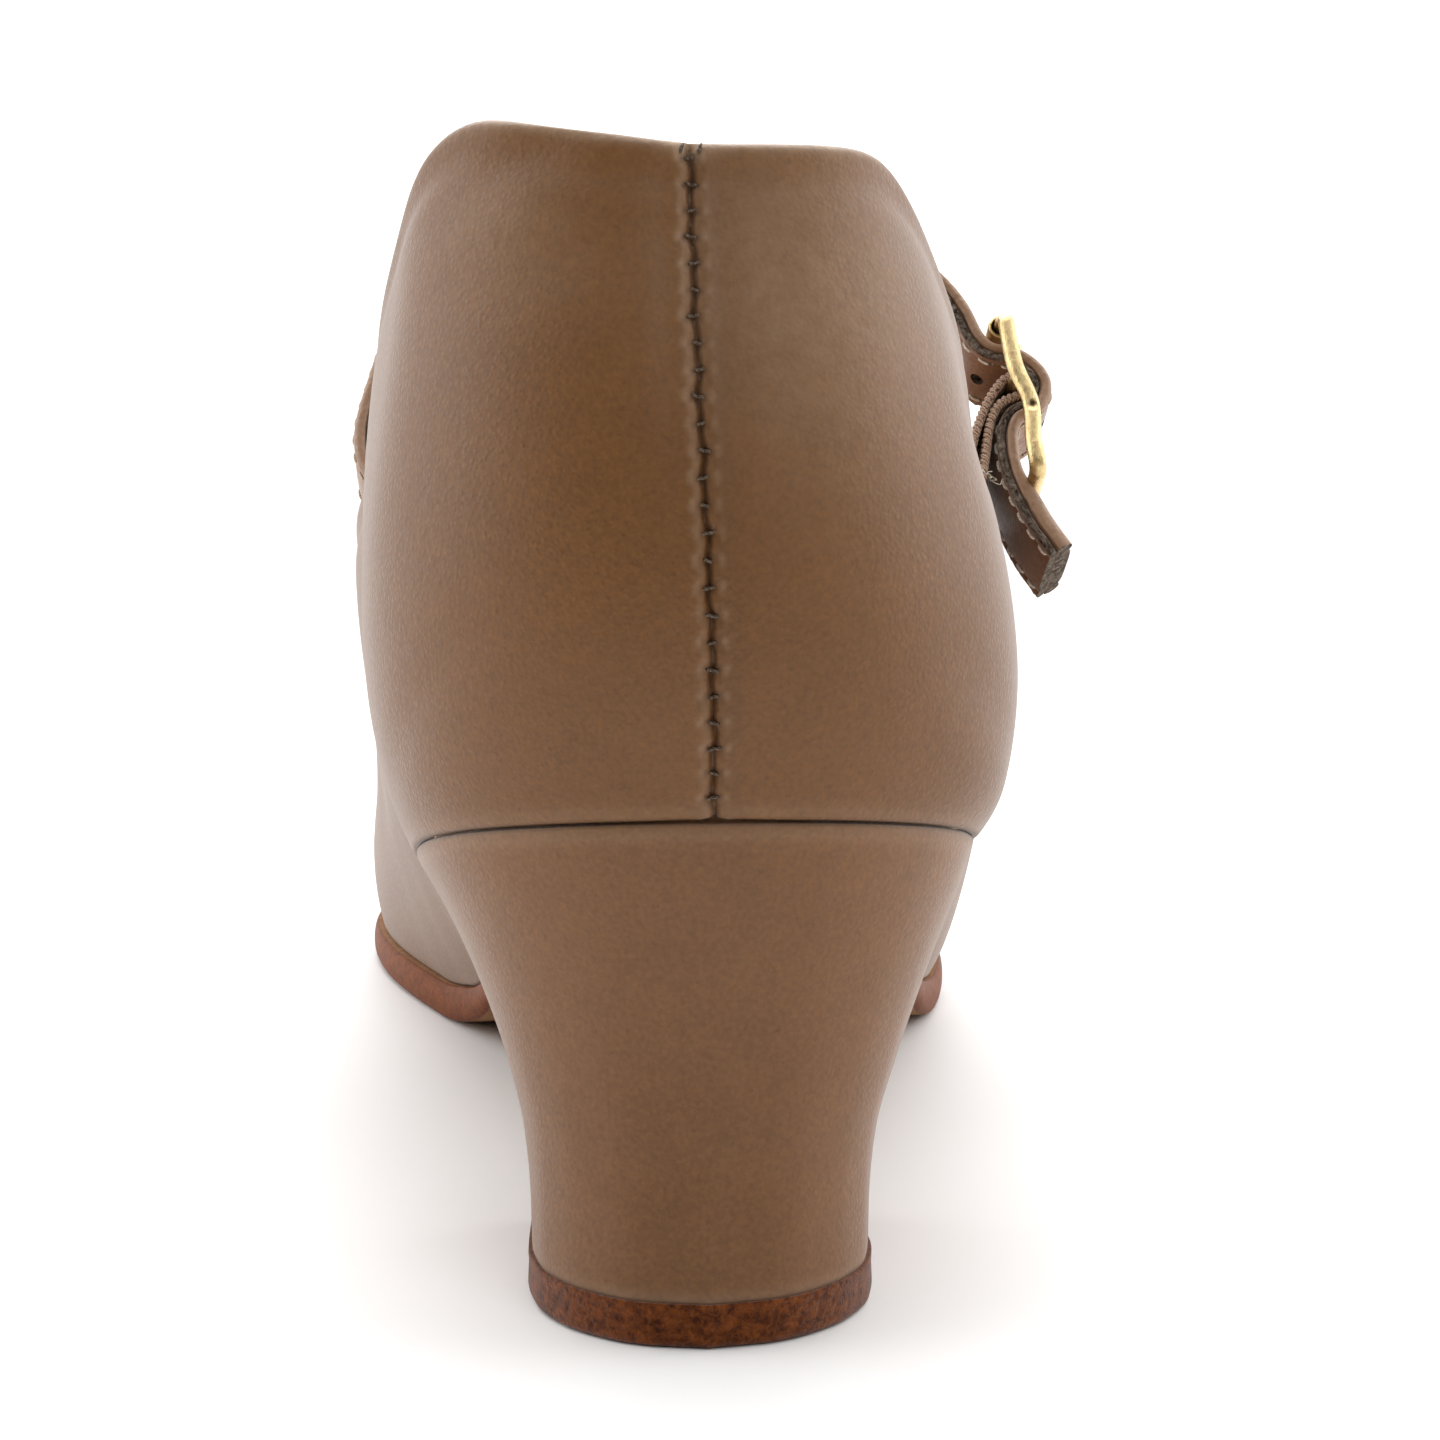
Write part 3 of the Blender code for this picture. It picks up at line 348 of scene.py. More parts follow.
DYE_PATCHES = (
    # size, contrast
    (0.03, 0.05), (0.00048, 0.17), (0.0045, 0.05),
)
GROOVE_SHADE = 0.42
PALE_BREAKUP_SIZE = 0.0016
PALE_BREAKUP_LEAST = 0.60
ROUGHER_IN_CREASE = 0.08
SMOOTHER_ON_CREST = 0.05


def steady_curve(table_x, table_y, x):
    """Read a table with a curve that never overshoots its rows."""
    table_x = np.asarray(table_x, float)
    table_y = np.asarray(table_y, float)
    step = np.diff(table_x)
    slope = np.diff(table_y) / step
    tangent = np.zeros_like(table_y)
    tangent[0] = slope[0]
    tangent[-1] = slope[-1]
    same_way = slope[:-1] * slope[1:] > 0
    both = slope[:-1] + slope[1:]
    tangent[1:-1][same_way] = 2 * slope[:-1][same_way] * slope[1:][same_way] / both[same_way]
    x = np.clip(np.asarray(x, float), table_x[0], table_x[-1])
    row = np.clip(np.searchsorted(table_x, x, side="right") - 1, 0, len(step) - 1)
    share = (x - table_x[row]) / step[row]
    rest = 1 - share
    start = table_y[row] * (1 + 2 * share) * rest ** 2 + tangent[row] * step[row] * share * rest ** 2
    end_y = table_y[row + 1] * (1 + 2 * rest) * share ** 2
    return start + end_y - tangent[row + 1] * step[row] * rest * share ** 2


def spline(places, rows, wanted, closed):
    """Cubic spline through rows at the given places, read at the wanted places."""
    places = np.asarray(places, float)
    rows = np.asarray(rows, float)
    count = len(places) - 1
    step = np.diff(places)
    slope = np.diff(rows, axis=0) / step[:, None]
    size = count if closed else count + 1
    matrix = np.zeros((size, size))
    target = np.zeros((size, rows.shape[1]))
    for i in range(0 if closed else 1, count):
        before = (i - 1) % count
        matrix[i, (i - 1) % size] += step[before]
        matrix[i, i] += 2 * (step[before] + step[i])
        matrix[i, (i + 1) % size] += step[i]
        target[i] = 6 * (slope[i] - slope[before])
    if not closed:
        matrix[0, 0] = 1.0
        matrix[count, count] = 1.0
    bend = np.linalg.solve(matrix, target)
    if closed:
        bend = np.vstack([bend, bend[:1]])
    wanted = np.asarray(wanted, float)
    row = np.clip(np.searchsorted(places, wanted, side="right") - 1, 0, count - 1)
    size_here = step[row][:, None]
    after = (wanted - places[row])[:, None]
    left = size_here - after
    return (bend[row] * left ** 3 / (6 * size_here) + bend[row + 1] * after ** 3 / (6 * size_here)
            + (rows[row] / size_here - bend[row] * size_here / 6) * left
            + (rows[row + 1] / size_here - bend[row + 1] * size_here / 6) * after)


def seat_height(along):
    """Height of the seat at places along the shoe."""
    table = np.array(SEAT_ROWS)
    return steady_curve(table[:, 0], table[:, 1], along)


def section_loop():
    """All sections in order: back, lateral side, toe, medial side, back again."""
    rows = np.array([BACK_SECTION, *LATERAL_SECTIONS, TOE_SECTION, *reversed(MEDIAL_SECTIONS),
                     BACK_SECTION])
    foot_step = np.linalg.norm(np.diff(rows[:, 0:2], axis=0), axis=1)
    top_step = np.linalg.norm(np.diff(rows[:, 2:5], axis=0), axis=1)
    steps = FOOT_WEIGHT * foot_step + (1 - FOOT_WEIGHT) * top_step
    return np.concatenate([[0.0], np.cumsum(steps)]), rows


def sections_at(wanted):
    """Each column of the sections, read at places round the shoe."""
    places, rows = section_loop()
    values = spline(places, rows, np.mod(wanted, places[-1]), closed=True)
    return {name: values[:, i] for i, name in enumerate(SECTION_COLUMNS)}


def foot_normals(section):
    """Outward normals of the feather edge, in plan."""
    run_x = np.roll(section["foot_x"], -1) - np.roll(section["foot_x"], 1)
    run_y = np.roll(section["foot_y"], -1) - np.roll(section["foot_y"], 1)
    size = np.hypot(run_x, run_y)
    return run_y / size, -run_x / size


def upper_stations(zone_spacing, spacing):
    """Places round the upper, close together beside the back seam."""
    length = section_loop()[0][-1]
    zone = np.arange(0.0, SEAM_ZONE, zone_spacing)
    open_count = int((length - 2 * SEAM_ZONE) / spacing)
    between = np.linspace(SEAM_ZONE, length - SEAM_ZONE, open_count)
    return np.concatenate([zone, between, length - zone[:0:-1]])


def upper_columns(stations):
    """The upper's outer surface as one finely stepped curve at each station."""
    section = sections_at(stations)
    normal_x, normal_y = foot_normals(section)
    seat = seat_height(section["foot_y"])
    foot = np.stack([section["foot_x"], section["foot_y"], seat], axis=1)
    top = np.stack([section["top_x"], section["top_y"], section["top_z"]], axis=1)
    swell = section["swell"]
    first = foot + np.stack([normal_x * swell, normal_y * swell, section["rise"]], axis=1)
    last = top + np.stack([section["lean_x"], section["lean_y"], -section["fall"]], axis=1)
    share = np.linspace(0.0, 1.0, COLUMN_SAMPLES)[:, None, None]
    rest = 1 - share
    return (rest ** 3 * foot + 3 * rest ** 2 * share * first
            + 3 * rest * share ** 2 * last + share ** 3 * top)


def upper_rows(stations, foot_rows, middle_rows, rim_rows):
    """The outer surface in rows: some near the foot, some near the rim, even ones between."""
    fine = upper_columns(stations)
    lengths = np.linalg.norm(np.diff(fine, axis=0), axis=2)
    climbed = np.vstack([np.zeros(len(stations)), np.cumsum(lengths, axis=0)])
    rows = []
    for i in range(len(stations)):
        height = climbed[-1, i]
        between = np.linspace(foot_rows[-1], height - rim_rows[0], middle_rows + 2)[1:-1]
        wanted = np.concatenate([foot_rows, between, height - np.array(rim_rows)])
        column = [np.interp(wanted, climbed[:, i], fine[:, i, axis]) for axis in range(3)]
        rows.append(np.stack([*column, wanted, height - wanted], axis=1))
    rows = np.stack(rows, axis=1)
    return rows[:, :, 0:3], rows[:, :, 3], rows[:, :, 4]


def surface_normals(grid):
    """Outward normals of a grid of rows that close round the shoe."""
    run_round = np.roll(grid, -1, axis=1) - np.roll(grid, 1, axis=1)
    run_up = np.gradient(grid, axis=0)
    normal = np.cross(run_round, run_up)
    return normal / np.linalg.norm(normal, axis=2)[:, :, None]


def round_distance(grid):
    """Distance from the back seam along each row, positive on the lateral side."""
    step = np.linalg.norm(np.roll(grid, -1, axis=1) - grid, axis=2)
    gone = np.concatenate([np.zeros((len(grid), 1)), np.cumsum(step, axis=1)], axis=1)
    full = gone[:, -1:]
    gone = gone[:, :-1]
    return np.where(gone > full / 2, gone - full, gone)


def bell(distance, width):
    """1 at no distance, and soon 0 beyond a width."""
    return np.exp(-(distance / width) ** 2)


def crease_depth(rows, from_seam, above_foot):
    """Sum of the hollows and ridges of a table."""
    depth = np.zeros_like(from_seam)
    for seam_place, height, turn, half_length, half_width, deep in rows:
        turn = math.radians(turn)
        right = from_seam - seam_place
        up = above_foot - height
        along = right * math.cos(turn) + up * math.sin(turn)
        across = up * math.cos(turn) - right * math.sin(turn)
        depth += deep * bell(along, half_length) * bell(across, half_width)
    return depth


def seam_wander(height):
    """How far the seam strays from its straight line."""
    return sum(reach * np.sin(2 * math.pi * height / length + start)
               for reach, length, start in SEAM_WANDER)


def to_stitch(height):
    """Height from the nearest stitch of the back seam."""
    return np.mod(height + SEAM_STITCH_PITCH / 2, SEAM_STITCH_PITCH) - SEAM_STITCH_PITCH / 2


def leather_relief(from_seam, above_foot, below_rim):
    """How far the leather's surface stands out from the plain form."""
    beside = np.abs(from_seam)
    groove = -SEAM_GROOVE[0] * bell(from_seam, SEAM_GROOVE[1])
    edges = SEAM_EDGE[0] * bell(beside - SEAM_EDGE[1], SEAM_EDGE[2])
    edges *= SEAM_EDGE_LEAST + SEAM_EDGE_GAIN[0] * bell(below_rim, SEAM_EDGE_GAIN[1])
    valley = -SEAM_VALLEY[0] * bell(from_seam, SEAM_VALLEY[1])
    from_stitch = to_stitch(above_foot)
    dimples = (-SEAM_DIMPLE[0] * bell(from_stitch, SEAM_DIMPLE[1])
               * bell(beside - SEAM_HOLE_FROM_SEAM, SEAM_DIMPLE[2]))
    between = 0.5 - 0.5 * np.cos(2 * math.pi * from_stitch / SEAM_STITCH_PITCH)
    dimples += SEAM_PILLOW[0] * between * bell(beside - SEAM_PILLOW[1], SEAM_PILLOW[2])
    pinch = -SEAM_TOP_PINCH[0] * bell(from_seam, SEAM_TOP_PINCH[1]) * bell(below_rim, SEAM_TOP_PINCH[2])
    tuck = -FOOT_TUCK[0] * bell(above_foot, FOOT_TUCK[1])
    bead = RIM_BEAD[0] * bell(below_rim - RIM_BEAD[1], RIM_BEAD[2])
    trough = -RIM_TROUGH[0] * bell(below_rim - RIM_TROUGH[1], RIM_TROUGH[2])
    return (groove + edges + valley + dimples + pinch + tuck + bead + trough
            - crease_depth(CREASES, from_seam, above_foot))


def come_in(from_crest, radius):
    """How far a rounded edge or fold has come in at a distance from its crest."""
    inside = np.clip(radius - from_crest, 0.0, radius)
    return radius - np.sqrt(radius ** 2 - inside ** 2)


def on_frame(points):
    """Points of the last, in millimetres, as metres in the frame."""
    points = np.asarray(points, float)
    return (points - np.array([0.0, ORIGIN_ALONG, 0.0])) * MM


def grid_faces(rows, columns, closed_rows, closed_columns, first=0):
    """Quads of a grid of points, wrapped round where it is closed."""
    row, column = np.meshgrid(np.arange(rows if closed_rows else rows - 1),
                              np.arange(columns if closed_columns else columns - 1), indexing="ij")
    above = (row + 1) % rows
    after = (column + 1) % columns
    quads = np.stack([row * columns + column, row * columns + after,
                      above * columns + after, above * columns + column], axis=-1)
    return (quads.reshape(-1, 4) + first).tolist()


def closed_mesh(name, points, faces):
    """A closed mesh from points in millimetres, its faces turned outward."""
    mesh = bpy.data.meshes.new(name)
    mesh.from_pydata(on_frame(points).reshape(-1, 3).tolist(), [], faces)
    built = bmesh.new()
    built.from_mesh(mesh)
    bmesh.ops.recalc_face_normals(built, faces=built.faces)
    built.to_mesh(mesh)
    built.free()
    return mesh


def new_piece(name, points, faces, materials, slot=None):
    """A closed piece from points in millimetres, smooth, riding on the shoe's one body."""
    mesh = closed_mesh(name, points, faces)
    mesh.shade_smooth()
    mesh.set_sharp_from_angle(angle=SHARP_ANGLE)
    for material in materials:
        mesh.materials.append(material)
    piece = bpy.data.objects.new(name, mesh)
    scene.collection.objects.link(piece)
    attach(piece, "root")
    return piece


def set_mask(piece, name, values):
    """A number for each point of a mesh, which its material reads by name."""
    layer = piece.data.attributes.new(name, "FLOAT", "POINT")
    layer.data.foreach_set("value", np.asarray(values, np.float32).ravel())


def new_group(name, inputs, outputs):
    """An empty shader group with number sockets."""
    group = bpy.data.node_groups.new(name, "ShaderNodeTree")
    for socket, value in inputs:
        made = group.interface.new_socket(socket, in_out="INPUT", socket_type="NodeSocketFloat")
        made.default_value = value
    for socket in outputs:
        group.interface.new_socket(socket, in_out="OUTPUT", socket_type="NodeSocketFloat")
    return group, group.nodes.new("NodeGroupInput"), group.nodes.new("NodeGroupOutput")


def use_group(tree, group, **values):
    """Place a group in a material with its own values. Underscores stand for spaces."""
    node = tree.nodes.new("ShaderNodeGroup")
    node.node_tree = group
    for name, value in values.items():
        feed(tree, node.inputs[name.replace("_", " ")], value)
    return node


def scaled_place(tree, size):
    """Object coordinates counted in cells of a size."""
    scale = add_node(tree, "VectorMath", operation="SCALE")
    feed(tree, scale.inputs[0], add_node(tree, "TexCoord").outputs["Object"])
    feed(tree, scale.inputs["Scale"], calculate(tree, "DIVIDE", 1.0, size))
    return scale.outputs[0]


def noise(tree, place, detail=3.0, roughness=0.55, scale=1.0, distortion=0.0):
    """Soft noise between 0 and 1 at a place."""
    node = add_node(tree, "TexNoise")
    values = {"Vector": place, "Scale": scale, "Detail": detail, "Roughness": roughness,
              "Distortion": distortion}
    for name, value in values.items():
        feed(tree, node.inputs[name], value)
    return node.outputs["Fac"]


# Fine leather grain: small pebbled cells with creases between them, broken by hair pores
grain_group, grain_in, grain_out = new_group("fine_leather_grain", [("Cell size", 0.0005)],
                                             ["Height", "Pores"])
grain_place = scaled_place(grain_group, grain_in.outputs["Cell size"])
cells = add_node(grain_group, "TexVoronoi")
feed(grain_group, cells.inputs["Vector"], grain_place)
feed(grain_group, cells.inputs["Scale"], 1.0)
dome = remap(grain_group, cells.outputs["Distance"], 0.0, 0.75, 1.0, 0.0, smooth=True)
wrinkle = noise(grain_group, grain_place, detail=2.0, scale=0.55)
feed(grain_group, grain_out.inputs["Height"],
     calculate(grain_group, "ADD", calculate(grain_group, "MULTIPLY", dome, GRAIN_DOME),
               calculate(grain_group, "MULTIPLY", wrinkle, GRAIN_WRINKLE)))
pores = noise(grain_group, grain_place, detail=1.0, scale=0.8)
feed(grain_group, grain_out.inputs["Pores"], remap(grain_group, pores, *PORE_NOISE, 0.0, 1.0))

# Uneven dye: soft patches round a value of 1
patch_group, patch_in, patch_out = new_group(
    "uneven_dye", [("Patch size", 0.02), ("Contrast", 0.1)], ["Tone"])
patches = noise(patch_group, scaled_place(patch_group, patch_in.outputs["Patch size"]), detail=2.0)
swing = calculate(patch_group, "MULTIPLY", calculate(patch_group, "SUBTRACT", patches, 0.5),
                  calculate(patch_group, "MULTIPLY", patch_in.outputs["Contrast"], 4.0))
feed(patch_group, patch_out.inputs["Tone"], calculate(patch_group, "ADD", swing, 1.0))


def read_mask(tree, name):
    """The number that set_mask has given to the mesh."""
    return add_node(tree, "Attribute", attribute_name=name).outputs["Fac"]


def tinted(tree, colour, tone):
    """A colour made lighter or darker by a tone."""
    grey = add_node(tree, "CombineColor")
    for socket in grey.inputs:
        feed(tree, socket, tone)
    return mix_colours(tree, 1.0, colour, grey.outputs[0], how="MULTIPLY")


def add_bump(tree, shader, height, depth):
    """Relief from a height between 0 and 1, with its depth in metres."""
    bump = add_node(tree, "Bump")
    feed(tree, bump.inputs["Height"], height)
    feed(tree, bump.inputs["Distance"], depth)
    feed(tree, bump.inputs["Strength"], 1.0)
    tree.links.new(bump.outputs["Normal"], shader.inputs["Normal"])


def dyed_leather(name, colour, deep, worn_and_lit, roughness, grain, depth, masks=()):
    """Smooth dyed leather: uneven dye, fine grain, painted shade in its grooves, and paler where it is
    rubbed and where highlights are painted on its edges and crests.
    """
    material, tree, shader = new_material(name, roughness, specular=LEATHER_SPECULAR)
    feed(tree, shader.inputs["Sheen Weight"], LEATHER_SHEEN)
    feed(tree, shader.inputs["Sheen Roughness"], SHEEN_ROUGHNESS)
    fine = use_group(tree, grain_group, Cell_size=grain)
    tone = 1.0
    for size, contrast in DYE_PATCHES:
        patches = use_group(tree, patch_group, Patch_size=size, Contrast=contrast)
        tone = calculate(tree, "MULTIPLY", tone, patches.outputs["Tone"])
    pores = calculate(tree, "MULTIPLY", fine.outputs["Pores"], PORE_SHARE)
    base = tinted(tree, mix_colours(tree, pores, colour, deep), tone)
    # Painted shade in the grooves and joints, read from the groove mask
    if "groove" in masks:
        darkest = tuple(part * GROOVE_SHADE for part in deep)
        base = mix_colours(tree, read_mask(tree, "groove"), base, darkest)
    # Paler leather: painted highlights on edges and crests and painted light in patches, with rubbed
    # wear
    if "wear_and_highlight" in masks:
        spots = remap(tree, noise(tree, scaled_place(tree, PALE_BREAKUP_SIZE)), 0.3, 0.7, PALE_BREAKUP_LEAST, 1.0)
        worn_and_lit_share = calculate(tree, "MULTIPLY", read_mask(tree, "wear_and_highlight"), spots)
        base = mix_colours(tree, worn_and_lit_share, base, worn_and_lit)
    feed(tree, shader.inputs["Base Color"], base)
    feed(tree, shader.inputs["Roughness"],
         remap(tree, fine.outputs["Height"], 0.2, 1.0,
               roughness + ROUGHER_IN_CREASE, roughness - SMOOTHER_ON_CREST))
    add_bump(tree, shader, fine.outputs["Height"], depth)
    return material


upper_leather = dyed_leather("upper_leather", LEATHER_COLOUR, LEATHER_DEEP, LEATHER_WORN_AND_LIT,
                             LEATHER_ROUGHNESS, LEATHER_GRAIN, LEATHER_BUMP, ("groove", "wear_and_highlight"))
stations = upper_stations(SEAM_SPACING, STATION_SPACING)
plain_form, above_foot, below_rim = upper_rows(stations, FOOT_ROWS, MIDDLE_ROWS, RIM_ROWS)
outward = surface_normals(plain_form)
from_seam = round_distance(plain_form)
from_seam -= seam_wander(above_foot) * bell(from_seam, SEAM_ZONE)
relief = leather_relief(from_seam, above_foot, below_rim)
relief *= np.clip(below_rim / RELIEF_FROM_RIM, RELIEF_AT_RIM, 1.0)
plain_form = plain_form - outward * crease_depth(FORM_ROWS, from_seam, above_foot)[:, :, None]
folded_in = come_in(below_rim, FOLD_RADIUS)
outer_face = plain_form + outward * (relief - folded_in)[:, :, None]
# Inside the fold the turned leather is double, and below it the leather is single
fold_start = np.argmin(np.abs(below_rim[:, :1] - FOLD_DEPTH)) - 2
thick = np.where(below_rim < FOLD_DEPTH, 2 * FOLD_RADIUS, LEATHER_BACK)
inner_face = plain_form - outward * (thick - folded_in * (thick > LEATHER_BACK))[:, :, None]
inner_keep = np.concatenate([np.arange(0, fold_start, INNER_ROW_STEP),
                             np.arange(fold_start, len(plain_form) - 1)])
inner_side = inner_face[inner_keep][::-1]
leather_points = np.concatenate([outer_face, inner_side])
leather_rows, leather_columns = leather_points.shape[0:2]
upper = new_piece("upper_leather", leather_points,
                  grid_faces(leather_rows, leather_columns, True, True), [upper_leather],
                  slot="upper_leather")
inside_zero = np.zeros((len(inner_side), leather_columns))
to_hole = to_stitch(above_foot)
beside = np.abs(from_seam)
holes = bell(to_hole, HOLE_DARK[1]) * bell(beside - SEAM_HOLE_FROM_SEAM, HOLE_DARK[2])
# Painted shade: darker in the seam's groove, under its stitches, in its holes, beside its edge and in
# the groove at the foot
groove = SEAM_DARK[0] + STITCH_DARK[0] * bell(to_hole, STITCH_DARK[1])
groove = groove * bell(from_seam, SEAM_DARK[1]) + HOLE_DARK[0] * holes
groove += FOOT_DARK[0] * bell(above_foot, FOOT_DARK[1])
groove += SIDE_DARK[0] * bell(from_seam - SIDE_DARK[1], SIDE_DARK[2])
# Paler leather: painted highlights on the folded rim, the seam's ridges and puckers and the edge above
# the foot, with rubbed wear, and painted light in the patches below the topline
wear_and_highlight = RIM_PALE[0] * bell(below_rim, RIM_PALE[1])
wear_and_highlight += RIDGE_PALE[0] * bell(from_seam - RIDGE_PALE[1], RIDGE_PALE[2]) * (1 - holes)
wear_and_highlight += PUCKER_PALE[0] * bell(beside - PUCKER_PALE[1], PUCKER_PALE[3]) * bell(to_hole, PUCKER_PALE[2])
wear_and_highlight += TOP_PALE[0] * bell(from_seam, TOP_PALE[1]) * bell(below_rim, TOP_PALE[2])
wear_and_highlight += FOOT_PALE[0] * bell(above_foot - FOOT_PALE[1], FOOT_PALE[2])
for seam_place, depth_place, width, height, strength in PAINTED_LIGHT_PATCHES:
    wear_and_highlight += strength * bell(from_seam - seam_place, width) * bell(below_rim - depth_place, height)
groove *= np.clip(below_rim / DARK_FROM_RIM, 0, 1)
set_mask(upper, "groove", np.concatenate([groove, inside_zero]))
set_mask(upper, "wear_and_highlight", np.concatenate([np.clip(wear_and_highlight, 0, 1), inside_zero]))
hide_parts("upper")


# Lining
# A soft pale leather lining, sewn in under the folded edge and cemented to the quarters and
# vamp. Its cut top edge shows just inside the collar and the throat.
LINING_TOP = 2.6
LINING_FACE = 1.9
LINING_BACK = 1.12
LINING_ROWS = 52
LINING_FOOT_ROWS = (0.0, 0.6)
# Rows below the lining's top edge. The collar seam runs along the first.
LINING_EDGE_ROWS = (1.5, 0.9, 0.6, 0.3, 0.12, 0.0)
LINING_EDGE_ROUND = 0.3
LINING_BACK_STEP = 6
LINING_SEAM_SPACING = 0.8
LINING_SPACING = 2.2
LINING_COLOUR = (0.50, 0.36, 0.235)
LINING_DEEP = (0.40, 0.27, 0.17)
# Roughness, grain size and grain depth, as for every leather below
LINING_FINISH = (0.62, 0.0006, 0.00003)

lining_leather = dyed_leather("lining_leather", LINING_COLOUR, LINING_DEEP, LINING_COLOUR,
                              *LINING_FINISH)
lining_stations = upper_stations(LINING_SEAM_SPACING, LINING_SPACING)
lining_form, lining_up, lining_down = upper_rows(
    lining_stations, LINING_FOOT_ROWS, LINING_ROWS,
    tuple(LINING_TOP + below for below in LINING_EDGE_ROWS))
lining_normal = surface_normals(lining_form)
lining_hollow = crease_depth(FORM_ROWS, round_distance(lining_form), lining_up)
lining_form = lining_form - lining_normal * lining_hollow[:, :, None]
edge_round = come_in(lining_down - LINING_TOP, LINING_EDGE_ROUND)
lining_front = lining_form - lining_normal * (LINING_FACE - edge_round)[:, :, None]
lining_rear = (lining_form - lining_normal * LINING_BACK)[::LINING_BACK_STEP][::-1]
lining_points = np.concatenate([lining_front, lining_rear])
new_piece("lining", lining_points, grid_faces(*lining_points.shape[0:2], True, True),
          [lining_leather], slot="sock_leather")


# Back seam stitches
# The two quarters meet edge to edge and are closed by short stitches in waxed thread, pulled
# tight across the groove. Two thread ends show at the top.
THREAD_COLOUR = (0.050, 0.030, 0.017)
# The thread's colour, and the paler colour of the painted highlight on its strands' crests
THREAD_PALE = (0.125, 0.083, 0.050)
SEAM_STITCH_UNEVEN = 0.22
SEAM_THREAD_RADIUS = 0.14
SEAM_THREAD_LIFT = 0.02
SEAM_THREAD_ARCH = 0.26
SEAM_THREAD_SINK = 0.34
SEAM_STITCH_BEAT = 2.4
SEAM_STITCH_TILT = 0.10
SEAM_STITCH_POINTS = 13
SEAM_THREAD_SIDES = 8
SEAM_TOP_GAP = 1.0
THREAD_ENDS = (
    # sideways, reach away from the leather
    (-0.75, 0.25), (0.7, 0.35),
)
THREAD_END_BELOW = 1.2
THREAD_END_RISE = 0.9
THREAD_END_DRIFT = 0.25
THREAD_END_LIFT = 0.04
THREAD_END_POINTS = 6
THREAD_ROUGHNESS = 0.62
THREAD_STRAND = 0.00022
THREAD_WAVE = (0.32, 2.0)
THREAD_BUMP = 0.00006


def tube_rows(path, radius, sides, ends=0.35):
    """Rings of a thread along a path, drawn in at its ends, as a grid of points."""
    path = np.asarray(path, float)
    run = np.gradient(path, axis=0)
    run = run / np.linalg.norm(run, axis=1)[:, None]
    helper = np.array([0.0, 0.0, 1.0]) if abs(run[0, 2]) < 0.8 else np.array([1.0, 0.0, 0.0])
    first = np.cross(run, helper)
    first = first / np.linalg.norm(first, axis=1)[:, None]
    second = np.cross(run, first)
    turn = np.linspace(0.0, 2 * math.pi, sides, endpoint=False)
    size = np.full(len(path), radius)
    size[0] *= ends
    size[-1] *= ends
    ring = (np.cos(turn)[None, :, None] * first[:, None]
            + np.sin(turn)[None, :, None] * second[:, None])
    return path[:, None] + ring * size[:, None, None]


def joined_tubes(tubes):
    """Many threads as one set of points and faces, each with closed ends."""
    points, faces, count = [], [], 0
    for tube in tubes:
        rows, sides = tube.shape[0:2]
        points.append(tube.reshape(-1, 3))
        faces += grid_faces(rows, sides, False, True, count)
        faces.append([count + i for i in range(sides)])
        faces.append([count + (rows - 1) * sides + i for i in range(sides)])
        count += rows * sides
    return np.concatenate(points), faces


def spun_thread(name, colour, pale):
    """Twisted thread: fine slanting strands, with a painted highlight on their crests."""
    material, tree, shader = new_material(name, THREAD_ROUGHNESS)
    wave = add_node(tree, "TexWave", wave_type="BANDS", bands_direction="DIAGONAL")
    feed(tree, wave.inputs["Vector"], scaled_place(tree, THREAD_STRAND))
    feed(tree, wave.inputs["Scale"], THREAD_WAVE[0])
    feed(tree, wave.inputs["Distortion"], THREAD_WAVE[1])
    feed(tree, shader.inputs["Base Color"], mix_colours(tree, wave.outputs["Fac"], colour, pale))
    add_bump(tree, shader, wave.outputs["Fac"], THREAD_BUMP)
    return material


def seam_point(height, sideways, lift):
    """A point on the finished leather beside the back seam."""
    row = np.interp(height, above_foot[:, 0], np.arange(len(above_foot)))
    low = int(row)
    share = row - low
    found = []
    for level in (low, min(low + 1, len(above_foot) - 1)):
        order = np.argsort(from_seam[level])
        places = from_seam[level][order]
        near = [np.interp(sideways, places, outer_face[level, order, axis]) for axis in range(3)]
        away = [np.interp(sideways, places, outward[level, order, axis]) for axis in range(3)]
        found.append(np.array(near) + np.array(away) * lift)
    return found[0] * (1 - share) + found[1] * share


seam_thread = spun_thread("seam_thread", THREAD_COLOUR, THREAD_PALE)
seam_height = float(above_foot[-1, 0])
seam_tubes = []
for number in range(1, int(seam_height / SEAM_STITCH_PITCH) + 1):
    height = number * SEAM_STITCH_PITCH
    if height > seam_height - SEAM_TOP_GAP:
        break
    tilt = SEAM_STITCH_TILT * (1 if number % 2 else -1)
    half = SEAM_STITCH_HALF * (1 + SEAM_STITCH_UNEVEN * math.sin(SEAM_STITCH_BEAT * number))
    bar = []
    for share in np.linspace(-1.0, 1.0, SEAM_STITCH_POINTS):
        arch = SEAM_THREAD_ARCH * (1 - share ** 2) - SEAM_THREAD_SINK * abs(share) ** 6
        bar.append(seam_point(height + share * tilt, share * half, SEAM_THREAD_LIFT + arch))
    seam_tubes.append(tube_rows(bar, SEAM_THREAD_RADIUS, SEAM_THREAD_SIDES))
for sideways, reach in THREAD_ENDS:
    end = [seam_point(seam_height - THREAD_END_BELOW + THREAD_END_RISE * share,
                      sideways + THREAD_END_DRIFT * share, THREAD_END_LIFT + reach * share ** 2)
           for share in np.linspace(0.0, 1.0, THREAD_END_POINTS)]
    seam_tubes.append(tube_rows(end, SEAM_THREAD_RADIUS, SEAM_THREAD_SIDES))
seam_points, seam_faces = joined_tubes(seam_tubes)
